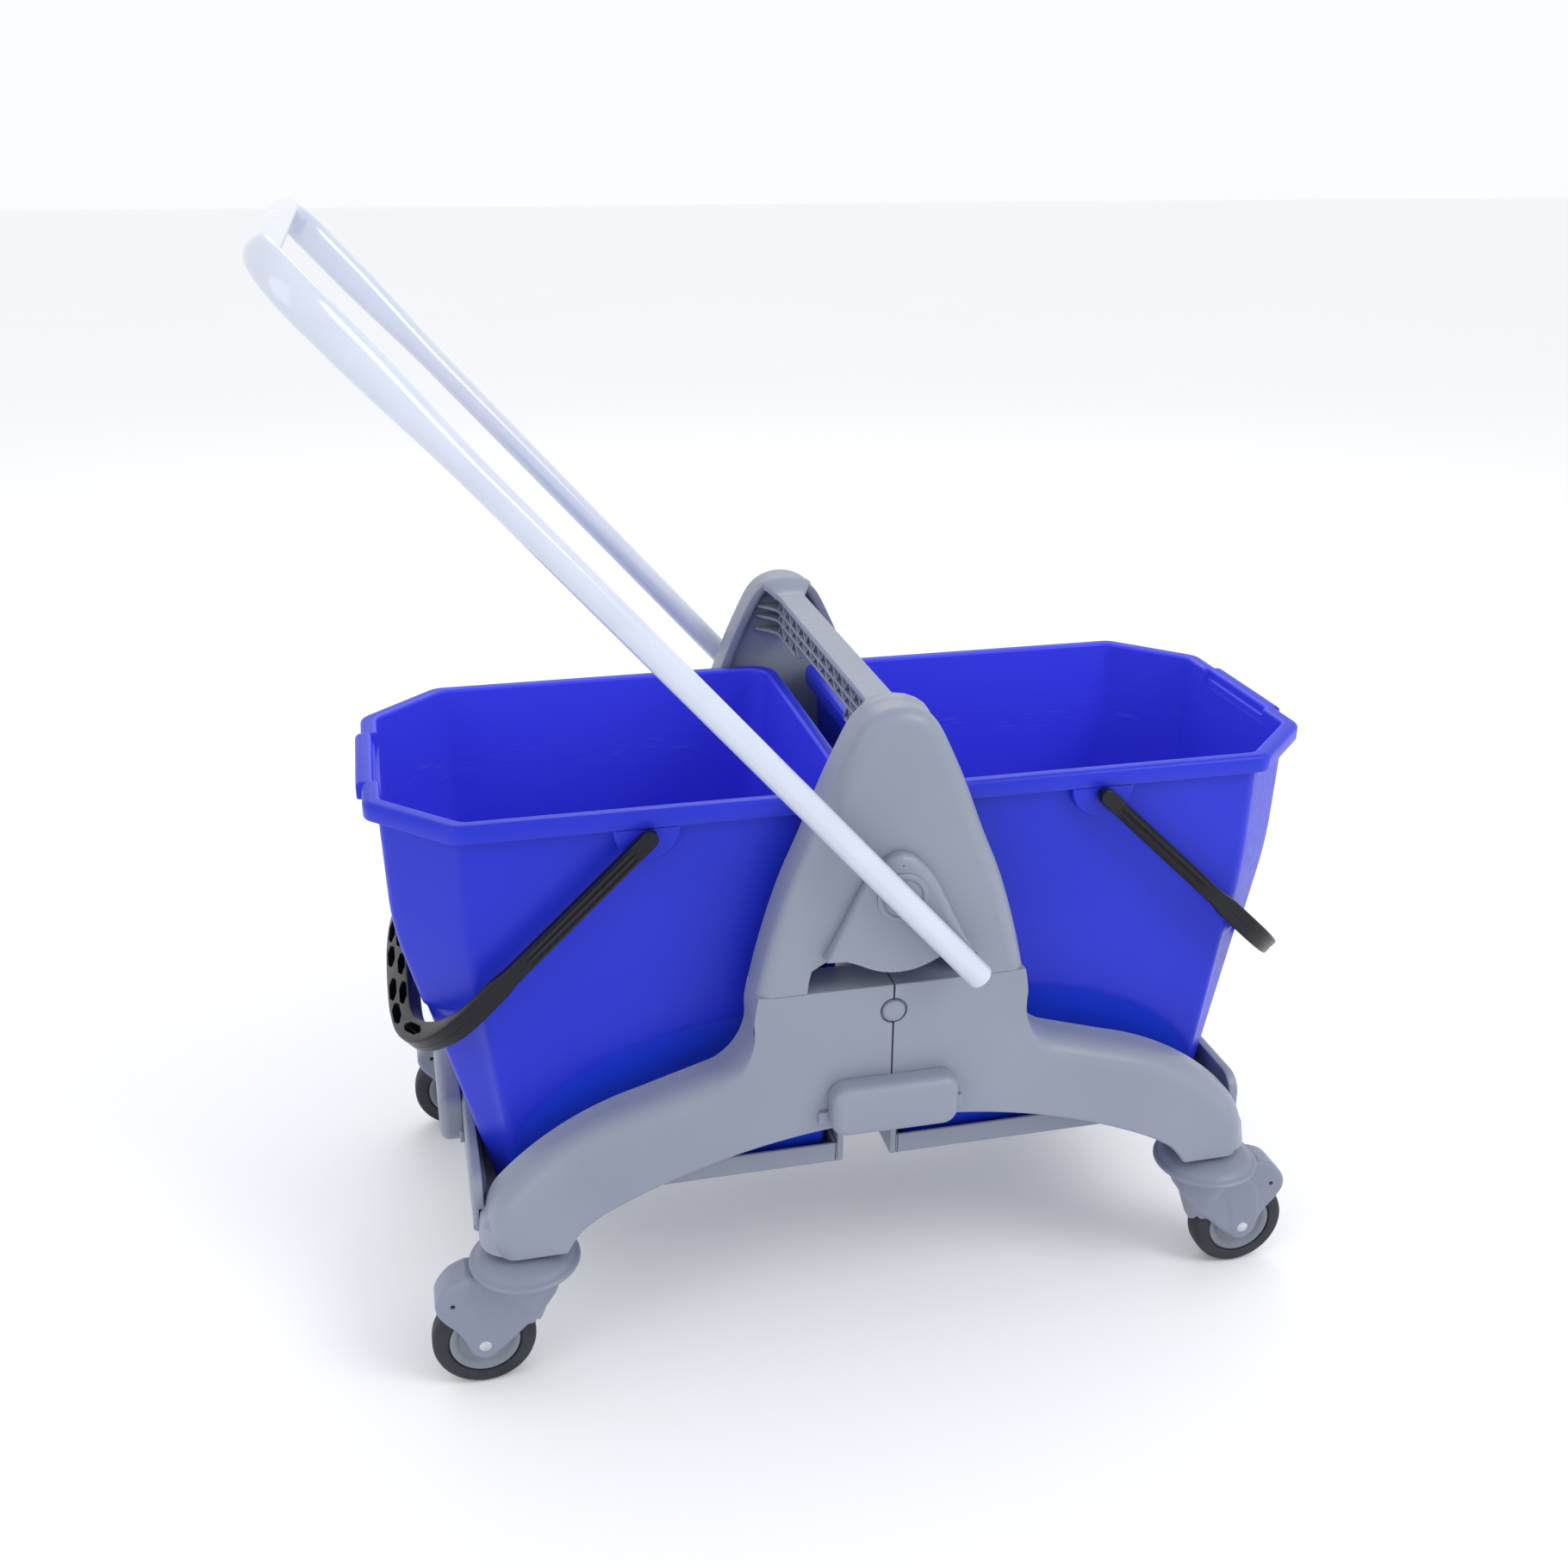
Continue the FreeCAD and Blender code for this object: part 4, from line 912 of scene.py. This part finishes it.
DECK_EDGE = [(-1.0, -1.2), (-0.96, -0.35), (-0.86, 0.0), (-0.5, 0.15)]
DECK_SECTION = ([(-1.0, -5.0)] + DECK_EDGE + [(0.0, 0.2)] + [(-x, z) for x, z in DECK_EDGE[::-1]]
                + [(1.0, -5.0), (0.9, -5.2), (0.0, -5.2), (-0.9, -5.2)])


def deck_solid():
    """The deck of the carrying bar, flaring into the towers at both ends."""
    ends = BACK + 16
    count = 66
    rings = []
    for k in range(count + 1):
        y = -ends + 2 * ends * k / count
        flare = min(max(0.0, abs(y) - 133.0) / 33.0, 1.0)
        left = DECK_HALF + 14.0 * flare ** 1.6
        right = DECK_HALF + 15.0 * flare ** 1.3
        rise = 11.2 * smooth_step(abs(y), 136, 162) - 2.5 * smooth_step(abs(y), 163, 174)
        ring = []
        for x, z in DECK_SECTION:
            wide = left if x < 0 else right
            droop = 9.5 * flare ** 1.5 * x * x
            ring.append((x * wide, y, DECK_Z - 0.3 + z + rise - droop))
        rings.append(ring)
    return loft(rings)


def shelf_solid(z, start, stop):
    """One thin shelf of the bar, widening on its open side where it meets a tower."""
    rings = []
    count = 40
    for k in range(count + 1):
        y = start + (stop - start) * k / count
        flare = min(max(0.0, abs(y) - 138.0) / 24.0, 1.0)
        left = -10.5 - 16.0 * flare ** 1.8
        low = z - SHELF_THICK / 2
        high = z + SHELF_THICK / 2
        section = [(left, low + 0.4), (left, high - 0.4), (left + 0.5, high), (10.0, high),
                   (10.5, high - 0.5), (10.5, low + 0.5), (10.0, low), (left + 0.5, low)]
        rings.append([(x, y, level) for x, level in section])
    return loft(rings)


def rib_solid(y0, z0, y1, z1):
    """A slanting rib of the lattice from one shelf to the next."""
    along = Vector((0, y1 - y0, z1 - z0)).normalized()
    side = Vector((0, along.z, -along.y)) * RIB_THICK / 2
    section = [(-RIB_HALF, -0.6), (-RIB_HALF + 0.4, -1), (RIB_HALF - 0.4, -1), (RIB_HALF, -0.6)]
    section += [(x, -s) for x, s in section[::-1]]
    return loft([[tuple(Vector((x, y, z)) + side * s) for x, s in section] for y, z in ((y0, z0), (y1, z1))])


def carry_bar_parts():
    """Deck, three shelves, a middle web and the triangular lattice between them."""
    span = BACK + 10
    low_z = DECK_Z - 38
    middle = low_z + 12
    rows = [DECK_Z - 5, DECK_Z - 17, middle, low_z]
    gap = 78.0
    parts = [deck_solid(), shelf_solid(rows[1], -span, span), shelf_solid(rows[2], -span, span)]
    for sign in (-1, 1):
        parts.append(shelf_solid(low_z, sign * gap, sign * span))
        start, stop = sorted((sign * gap, sign * span))
        parts.append(slab((-1.2, start, low_z), (1.2, stop, middle), 0.3))
    parts.append(slab((-1.2, -span, middle), (1.2, span, DECK_Z - 2), 0.3))
    pitch = 24.0
    reach = 144.0
    for level, (upper, lower) in enumerate(zip(rows, rows[1:])):
        for k in range(int(2 * reach / pitch)):
            start = -reach + k * pitch
            if level == 2 and abs(start + pitch / 2) < gap + 6:
                continue
            parts += [rib_solid(foot, lower, start + pitch / 2, upper) for foot in (start, start + pitch)]
    return parts


yoke_parts = [tower_solid(), flipped(tower_solid(), y=-1)] + carry_bar_parts()
piece("yoke_moulding", yoke_parts, "frame", GREY, ["yoke"], 34)


def cover_solid(face):
    """The bell-shaped cover over a pivot, with softened edges."""
    side = rounded_line([(0, 428), (10, 424.5), (23, 411), (33, 393.5), (43, 372.5), (56, 347)], 6)
    belly = [(41, 346), (33, 343), (24, 338.5), (13, 334.5), (0, 333)]
    low = rounded_line(belly + [(-x, z) for x, z in belly[-2::-1]], 2)
    outline = (side + low + [(-x, z) for x, z in side[::-1]][:-1])[::-1]
    weights = []
    for i, (x, z) in enumerate(outline):
        nz = outline[(i + 1) % len(outline)][1]
        weights.append(0.15 + 0.85 * smooth_step(max(z, nz), 347.2, 378))
    return plate(outline, -FACE, -face, 7.0, 6.0, weights)


for name, node, sign in (("near_cover", "hub_cover_near", 1), ("far_cover", "hub_cover_far", -1)):
    low, high = node_box(node)
    piece(name, [flipped(cover_solid(high.y - low.y + FACE), y=sign)], "frame", GREY, [node])

for name, sign in (("near", -1), ("far", 1)):
    low, high = node_box(f"pivot_disc_{name}")
    radius = high.x
    seat = min(abs(low.y), abs(high.y))
    tall = high.y - low.y
    bore = 6.02
    profile = [(bore, 0), (radius, 0), (radius, tall - 0.6), (radius - 0.6, tall), (radius - 3.6, tall),
               (radius - 4.0, tall - 0.7), (radius - 5.2, tall - 0.7), (radius - 5.6, tall), (bore, tall)]
    piece(f"{name}_pivot_washer", [turned(profile, (0, sign * seat, (low.z + high.z) / 2), (0, sign, 0), 64)],
          "handle", GREY, [f"pivot_disc_{name}"], 30)


# ------------------------------------------------------------------ push handle

PIVOT_Z = joint_place("handle_tilt")[2]
LEAN = 41.5
LEG_Y = 218.0
TUBE = 10.0
TUBE_SIDES = 40
ELBOW = 48.0                                # how far the elbows reach from the bar and from the legs
BAR_Z = 600.0                               # middle of the top bar, along the legs from the pivot
TAIL = 87.0


def leaned(point):
    """A point of the upright handle (across, y, along) leaned over to its rest place."""
    turn = math.radians(LEAN)
    across, y, along = point
    return (across * math.cos(turn) - along * math.sin(turn), y,
            PIVOT_Z + across * math.sin(turn) + along * math.cos(turn))


def tube_ring(inner, outer, thick, power):
    """A section between two points of the handle's plane (y, along), rounded like a superellipse."""
    middle = ((inner[0] + outer[0]) / 2, (inner[1] + outer[1]) / 2)
    half = ((outer[0] - inner[0]) / 2, (outer[1] - inner[1]) / 2)
    ring = []
    for k in range(TUBE_SIDES):
        angle = math.tau * k / TUBE_SIDES
        c = math.cos(angle)
        s = math.sin(angle)
        u = math.copysign(abs(c) ** (2 / power), c)
        v = math.copysign(abs(s) ** (2 / power), s)
        ring.append(leaned((thick * v, middle[0] + half[0] * u, middle[1] + half[1] * u)))
    return ring


def handle_solid():
    """The whole push handle: round legs that widen towards wide soft elbows and a flatter top bar."""
    centre = LEG_Y - ELBOW
    corner = BAR_Z - ELBOW
    bar_in = BAR_Z - 10.2
    bar_out = BAR_Z + 7.4
    bar_thick = 11.2
    leg_thick = 12.8
    half = []
    lows = [-TAIL + 1] + [-TAIL + 12 + k * (corner + TAIL - 12) / 60 for k in range(61)]
    for along in lows:
        swell = (leg_thick - TUBE) * smooth_step(along, corner - 125, corner - 15)
        half.append(((LEG_Y - TUBE, along), (LEG_Y + TUBE, along), TUBE + swell, 2.0 + 0.05 * swell))
    steps = 26
    for k, angle in enumerate(quarter(steps)[1:], 1):
        c = max(math.cos(angle), 0.0)
        s = math.sin(angle)
        inner = (centre + (ELBOW - TUBE) * c ** 0.5, corner + (bar_in - corner) * s ** 0.5)
        outer = (centre + (ELBOW + TUBE) * c, corner + (bar_out - corner) * s)
        share = smooth_step(k, 0, steps)
        half.append((inner, outer, leg_thick + (bar_thick - leg_thick) * share, 2.15 + 0.35 * share))
    count = 22
    for k in range(1, count):
        y = centre * (1 - k / count)
        half.append(((y, bar_in), (y, bar_out), bar_thick, 2.5))
    far = [tube_ring(*station) for station in half]
    middle = [tube_ring((0, bar_in), (0, bar_out), bar_thick, 2.5)]
    near = [[(x, -y, z) for x, y, z in ring] for ring in far]
    return loft(far + middle + near[::-1])


piece("push_handle", [handle_solid()], "handle", COAT, ["handle_tube"], 60)


def end_cap(side):
    """The domed plug in the lower end of one leg."""
    foot = leaned((0, side * LEG_Y, -TAIL))
    down = Vector(leaned((0, 0, -1))) - Vector(leaned((0, 0, 0)))
    profile = [(0, -10), (TUBE - 1.8, -10), (TUBE - 1.8, -1.0), (TUBE - 0.2, -1.0), (TUBE, -0.6)]
    profile += [(TUBE - 2.6 * (1 - math.cos(angle)), 0.4 + 2.6 * math.sin(angle)) for angle in quarter(6)]
    profile.append((0, 3.0))
    return turned(profile, foot, down, 48)


piece("handle_plugs", [end_cap(-1), end_cap(1)], "handle", COAT, ["handle_end_caps"])


# ------------------------------------------------------------------ bails

BAIL_DROP = 43.6
BAIL_REACH = 263.0
ARM_OUT = 163.0
ARM_THICK = 8.5
GRIP_DEEP = 24.0
RIB_DEEP = 1.5
EYE = 6.5                                   # half width of an arm where its pin sits


def bail_ring(inner, outer, half, grooves, line_cut):
    """A section of the bail between its inner and outer edge, `half` to each side of its plane.
    The outer face carries ribs, or one fine line."""
    away = Vector((outer[0] - inner[0], outer[1] - inner[1])).normalized()
    soft = min(2.0, 0.45 * half)

    def rounding(t):
        gap = half * (1 - abs(t))
        return soft - math.sqrt(soft ** 2 - max(soft - gap, 0.0) ** 2)

    spread = [-1, -0.975, -0.93, -0.86, -0.77, -0.7, -0.6, -0.5, -0.42, -0.33, -0.24, -0.15, -0.07, -0.03]
    spread = spread + [0.0] + [-t for t in reversed(spread)]
    ring = []
    for t in spread:
        wave = 0.5 - 0.5 * math.cos(math.tau * 3 * (t + 1) / 2)
        rib = RIB_DEEP * grooves * wave * smooth_step(1 - abs(t), 0.05, 0.2)
        fine_line = 0.5 * line_cut * (1 - smooth_step(abs(t), 0.03, 0.09))
        move = rounding(t) + rib + fine_line
        ring.append((outer[0] - away.x * move, outer[1] - away.y * move, half * t))
    for t in (1, 0.95, 0.85, 0.7, 0.35, 0, -0.35, -0.7, -0.85, -0.95, -1):
        move = rounding(t) + 0.05
        ring.append((inner[0] + away.x * move, inner[1] + away.y * move, half * t))
    return ring


def bail_half_width(x):
    """Half the bail's width at x along its arms, round past its pin."""
    if x < 0:
        return math.sqrt(max(EYE ** 2 - x * x, 0.2))
    swell = 0.3 * smooth_step(x, 20, 140) + 1.7 * smooth_step(x, 140, 158)
    return EYE + swell - 1.1 * smooth_step(x, 196, 240)


def bail_solid():
    """One bail lying out along +X from its axis: two arms, their bends and the grip bar."""
    inner_y = ARM_OUT - ARM_THICK
    stations = []
    straight = 42
    for x in [-6.45, -6.2, -5.6, -4.4, -2.6, 0] + [172.0 * k / straight for k in range(1, straight + 1)]:
        stations.append(((x, inner_y), (x, ARM_OUT), x))
    outside = rounded_line([(172, ARM_OUT), (187, 162.8), (202, 159.6), (216, 153), (230, 142), (241, 128.5),
                            (249, 113.5), (255, 96.5), (259, 76.5), (262, 45), (BAIL_REACH - 0.1, 0)], 6)
    inner_x = BAIL_REACH - GRIP_DEEP + 0.1
    inside = rounded_line([(172, inner_y), (184, 154), (196, 149), (207, 141), (217, 130), (226, 117),
                           (232.5, 104), (236, 92), (238.3, 76), (inner_x, 45), (inner_x, 0)], 6)
    stations += [(a, b, b[0]) for a, b in zip(inside[1:], outside[1:])]
    rings = []
    for inner, outer, x in stations:
        grooves = smooth_step(x, 8, 16) * (1 - smooth_step(x, 118, 142))
        line_cut = smooth_step(x, 150, 165) * smooth_step(outer[1], 96, 110) * 0.8
        rings.append(bail_ring(inner, outer, bail_half_width(x), grooves, line_cut))
    mirrored = [[(x, -y, z) for x, y, z in ring] for ring in rings[:-1]]
    return loft(rings + mirrored[::-1])


def grip_cells():
    """Long six-sided tools that open the grip, in two staggered rows that follow its bend."""
    tools = []
    inner_row = BAIL_REACH - 18.4
    places = ((inner_row, 0, 0), (BAIL_REACH - 7.6, 28, 0), (inner_row, 48, 0), (BAIL_REACH - 10.4, 70, 6),
              (BAIL_REACH - 26, 114, 26))
    for x, y, lean in places:
        turn = Matrix.Rotation(math.radians(lean), 2)
        rings = []
        for z, grow in ((-20, 1.0), (-8.2, 1.0), (-6.2, 0.9), (6.2, 0.9), (8.2, 1.0), (20, 1.0)):
            angles = [math.radians(60 * i + 30) for i in range(6)]
            corners = [(4.9 * grow * math.cos(a), 21 * grow * math.sin(a), 1.0) for a in angles]
            rings.append([tuple(Vector((x, y)) + turn @ Vector(p)) + (z,) for p in soften(corners, 3)])
        cell = loft(rings)
        tools.append(cell)
        if y:
            tools.append(flipped(cell, y=-1))
    return tools


bail_mesh = carved([bail_solid()], grip_cells())
pin_profile = [(0, -4.5), (3.6, -4.5), (4.4, -3.6), (4.4, 4.5), (0, 4.5)]
for side, sign in (("right", 1), ("left", -1)):
    px, _, pz = joint_place(f"{side}_bail_swing")
    mesh = bail_mesh.copy()
    turn = Matrix.Rotation(math.radians(BAIL_DROP), 4, "Y")
    if sign < 0:
        turn = Matrix.Scale(-1, 4, (1, 0, 0)) @ turn
    mesh.transform(Matrix.Translation((px * MM, 0, pz * MM)) @ turn)
    if sign < 0:
        mesh.flip_normals()
    placed(mesh, f"{side}_bail_strap", f"{side}_bail", BLACK, [f"bail_{side}"], 34)
    pins = [turned(pin_profile, (px, s * 151.5, pz), (0, s, 0), 32) for s in (-1, 1)]
    piece(f"{side}_bail_pins", pins, f"{side}_bail", BLACK)


# ------------------------------------------------------------------ casters

SWIVEL_X, SWIVEL_Y = [abs(c) for c in joint_place("swivel_turn_near_right")[:2]]
WHEEL_X, _, WHEEL_Z = joint_place("wheel_roll_near_right")
TRAIL = WHEEL_X - SWIVEL_X


def hood():
    """The fork's hood seen from the side, swept across with softly rounded edges."""
    line = rounded_line([(-24, 104), (-24.5, 92), (-22, 80), (-11, 64.5), (6, 48), (22, 33), (34, 27.5),
                         (45, 34), (50.5, 45), (56, 55), (65, 65.5), (70, 76), (68.5, 86), (59, 98),
                         (46, 104)], 5)
    outline = anticlockwise(line)
    weights = [1.0] * len(outline)
    edge = 4.0
    stations = []
    for angle in quarter(6):
        y = 15 - edge * (1 - math.sin(angle))
        move = edge * (1 - math.cos(angle)) * 0.9
        stations += [(-y, move), (y, move)]
    return loft([[(x, y, z) for x, z in inset(outline, weights, move)] for y, move in sorted(stations)])


def anticlockwise(points):
    """A closed outline in anticlockwise order."""
    area = sum(a[0] * b[1] - b[0] * a[1] for a, b in zip(points, points[1:] + points[:1]))
    return points if area > 0 else points[::-1]


def arm_pad(side):
    """The raised arm on a fork's cheek, from the axle up to the hood."""
    line = rounded_line([(28, 30), (36, 28), (45, 34), (48, 45), (47, 60), (44, 76), (36, 88), (24, 95),
                         (12, 97), (0, 96), (2, 86), (12, 78), (20, 66), (23, 50), (24, 38)], 4)
    body = plate(anticlockwise(line), -13.0, -15.9, 1.6, 1.2, steps=4)
    return body if side < 0 else flipped(body, y=-1)


def neck():
    """The round neck under the swivel, flowing into the hood."""
    profile = [(0, 42), (8, 46), (11.5, 52), (15, 62), (18.5, 73), (21.5, 84), (23.5, 95), (24, 102),
               (23, 104), (0, 104)]
    return turned(profile, (0, 0, 0), (0, 0, 1), 64)


def wheel_room():
    """What is cut out of a fork: room for the wheel, the stem, the axle and the lock pin."""
    half = 11.0
    radius = WHEEL_Z + 4
    angles = [math.tau * k / 72 for k in range(72)]
    ring = [(TRAIL + radius * math.cos(angle), WHEEL_Z + radius * math.sin(angle)) for angle in angles]
    drum = loft([[(x, y, z) for x, z in ring] for y in (-half, half)])
    block = slab((TRAIL - 12, -half + 0.01, -6), (TRAIL + 60, half - 0.01, 74), 0.2)
    axle = turned([(0, -30), (4.02, -30), (4.02, 30), (0, 30)], (TRAIL, 0, WHEEL_Z), (0, 1, 0), 40)
    lock = turned([(0, -30), (2.0, -30), (2.0, 30), (0, 30)], (TRAIL + 22, 0, WHEEL_Z + 41), (0, 1, 0), 24)
    stem_profile = [(0, 60), (10.0, 60), (10.0, 98), (5.6, 98), (5.6, 120), (0, 120)]
    stem = turned(stem_profile, (0, 0, 0), (0, 0, 1), 40)
    return [drum, block, axle, lock, stem]


fork_mesh = carved([hood(), arm_pad(-1), arm_pad(1), neck()], wheel_room(), 1.0, 5)

disc_profile = [(5.56, 104.4), (39, 104.4), (41.6, 104.7), (42.4, 105.6), (42.45, 107.2), (41.6, 108.2),
                (39.8, 108.9)]
disc_profile += rounded_line([(38.6, 109.4), (34, 112.6), (28, 114.9), (22, 116.6), (16, 117.6),
                              (9, 117.9)], 4)
disc_profile += [(5.56, 117.9)]
hub_half = [(4.06, 10.6), (8.6, 10.6), (9.2, 10.0), (9.6, 7.6), (12, 7.0), (20, 7.2), (22.6, 9.0),
            (25.6, 9.6), (26.8, 9.2), (26.95, 8.4)]
tyre_half = [(26.98, 8.2), (28.2, 8.2), (28.5, 9.7), (29.6, 9.95), (35.6, 9.95), (37.6, 9.3), (38.9, 8.0),
             (39.7, 6.0), (39.95, 3.6), (39.98, 1.2)]
rivet_half = [(0, 17.3), (1.8, 17.15), (3.4, 16.7), (4.7, 16.0), (5.4, 15.3), (5.45, 14.95), (4.0, 14.95)]
hub_profile, tyre_profile, rivet_profile = (half + [(r, -h) for r, h in half[::-1]]
                                            for half in (hub_half, tyre_half, rivet_half))
CORNERS = {"near_left": (-1, -1), "near_right": (1, -1), "far_left": (-1, 1), "far_right": (1, 1)}

for corner, (sx, sy) in CORNERS.items():
    spot = (sx * SWIVEL_X, sy * SWIVEL_Y, 0)
    wheel = (spot[0] + sx * TRAIL, spot[1], WHEEL_Z)
    heading = Matrix.Rotation(math.radians(0 if sx > 0 else 180), 4, "Z")
    mesh = fork_mesh.copy()
    mesh.transform(Matrix.Translation([c * MM for c in spot]) @ heading)
    placed(mesh, f"{corner}_fork", f"swivel_{corner}", FORK_GREY, [f"caster_fork_{corner}"], 38)
    piece(f"{corner}_disc", [turned(disc_profile, spot, (0, 0, 1), 96)], f"swivel_{corner}", FORK_GREY,
          [f"caster_disc_{corner}"], 40)
    piece(f"{corner}_rivet", [turned(rivet_profile, wheel, (0, 1, 0), 40)], f"swivel_{corner}", STEEL,
          [f"axle_{corner}"])
    piece(f"{corner}_hub", [turned(hub_profile, wheel, (0, 1, 0), 72)], f"wheel_{corner}", HUB_GREY,
          [f"wheel_hub_{corner}"], 30)
    piece(f"{corner}_tyre", [turned(tyre_profile, wheel, (0, 1, 0), 96)], f"wheel_{corner}", RUBBER,
          [f"tyre_{corner}"], 35)


# ------------------------------------------------------------------ CAD pieces that stay

for name, obj in frame["nodes"].items():
    if name.startswith(("caster_stem_", "pivot_pin_", "pivot_clip_")):
        for place in obj.material_slots:
            place.material = STEEL


# ------------------------------------------------------------------ floor, light and camera

def floor_material():
    """Plain pale floor with barely visible mottling."""
    material, tree, shader, where = new_material("studio_floor", "")
    broad = noise(tree, where, 1.2, 3.0)
    fine = noise(tree, where, 90.0, 4.0)
    painted(tree, shader, broad, linear(249, 249, 250), linear(247, 247, 249))
    roughened(tree, shader, fine, 0.66, 0.78)
    bump(tree, shader, [(fine, 0.00005, 0.3)])
    return material


floor_mesh = bpy.data.meshes.new("floor")
wide = 14.0
floor_corners = [(-wide, -wide, 0), (wide, -wide, 0), (wide, wide, 0), (-wide, wide, 0)]
floor_mesh.from_pydata(floor_corners, [], [(0, 1, 2, 3)])
floor_mesh.materials.append(floor_material())
floor = bpy.data.objects.new("floor", floor_mesh)
bpy.context.scene.collection.objects.link(floor)

world = bpy.data.worlds.new("studio")
world.use_nodes = True
background = world.node_tree.nodes["Background"]
background.inputs["Color"].default_value = (0.97, 0.98, 1.0, 1.0)
background.inputs["Strength"].default_value = 1.0
bpy.context.scene.world = world


def area_light(name, spot, aim, width, height, power):
    lamp = bpy.data.lights.new(name, "AREA")
    lamp.shape = "RECTANGLE"
    lamp.size = width
    lamp.size_y = height
    lamp.energy = power
    obj = bpy.data.objects.new(name, lamp)
    obj.location = spot
    obj.rotation_euler = (Vector(aim) - Vector(spot)).to_track_quat("-Z", "Y").to_euler()
    bpy.context.scene.collection.objects.link(obj)


area_light("key", (1.9, -1.8, 2.4), (0, 0, 0.3), 1.4, 1.4, 34)
area_light("fill", (-2.4, -1.4, 1.6), (0, 0, 0.35), 1.4, 1.8, 10)
area_light("back", (0.4, 2.4, 2.4), (0, 0, 0.4), 2.0, 1.0, 14)

CAMERA_TARGET = Vector((-0.0384, 0.0, 0.4033))
CAMERA_AZIMUTH = math.radians(-13.7546)
CAMERA_ELEVATION = math.radians(22.696)
CAMERA_DISTANCE = 1.3689
CAMERA_ROLL = math.radians(0.39)
lens = bpy.data.cameras.new("camera")
lens.lens = 38.03
lens.sensor_width = 36.0
camera = bpy.data.objects.new("camera", lens)
toward = Vector((math.sin(CAMERA_AZIMUTH) * math.cos(CAMERA_ELEVATION),
                 -math.cos(CAMERA_AZIMUTH) * math.cos(CAMERA_ELEVATION), math.sin(CAMERA_ELEVATION)))
right = Vector((math.cos(CAMERA_AZIMUTH), math.sin(CAMERA_AZIMUTH), 0))
up = toward.cross(right)
tilted_right = right * math.cos(CAMERA_ROLL) + up * math.sin(CAMERA_ROLL)
tilted_up = up * math.cos(CAMERA_ROLL) - right * math.sin(CAMERA_ROLL)
axes = Matrix((tilted_right, tilted_up, toward)).transposed()
camera.matrix_world = Matrix.Translation(CAMERA_TARGET + toward * CAMERA_DISTANCE) @ axes.to_4x4()
bpy.context.scene.collection.objects.link(camera)
bpy.context.scene.camera = camera

scene = bpy.context.scene
scene.view_settings.view_transform = "Standard"
scene.view_settings.look = "None"
scene.view_settings.exposure = 0.0
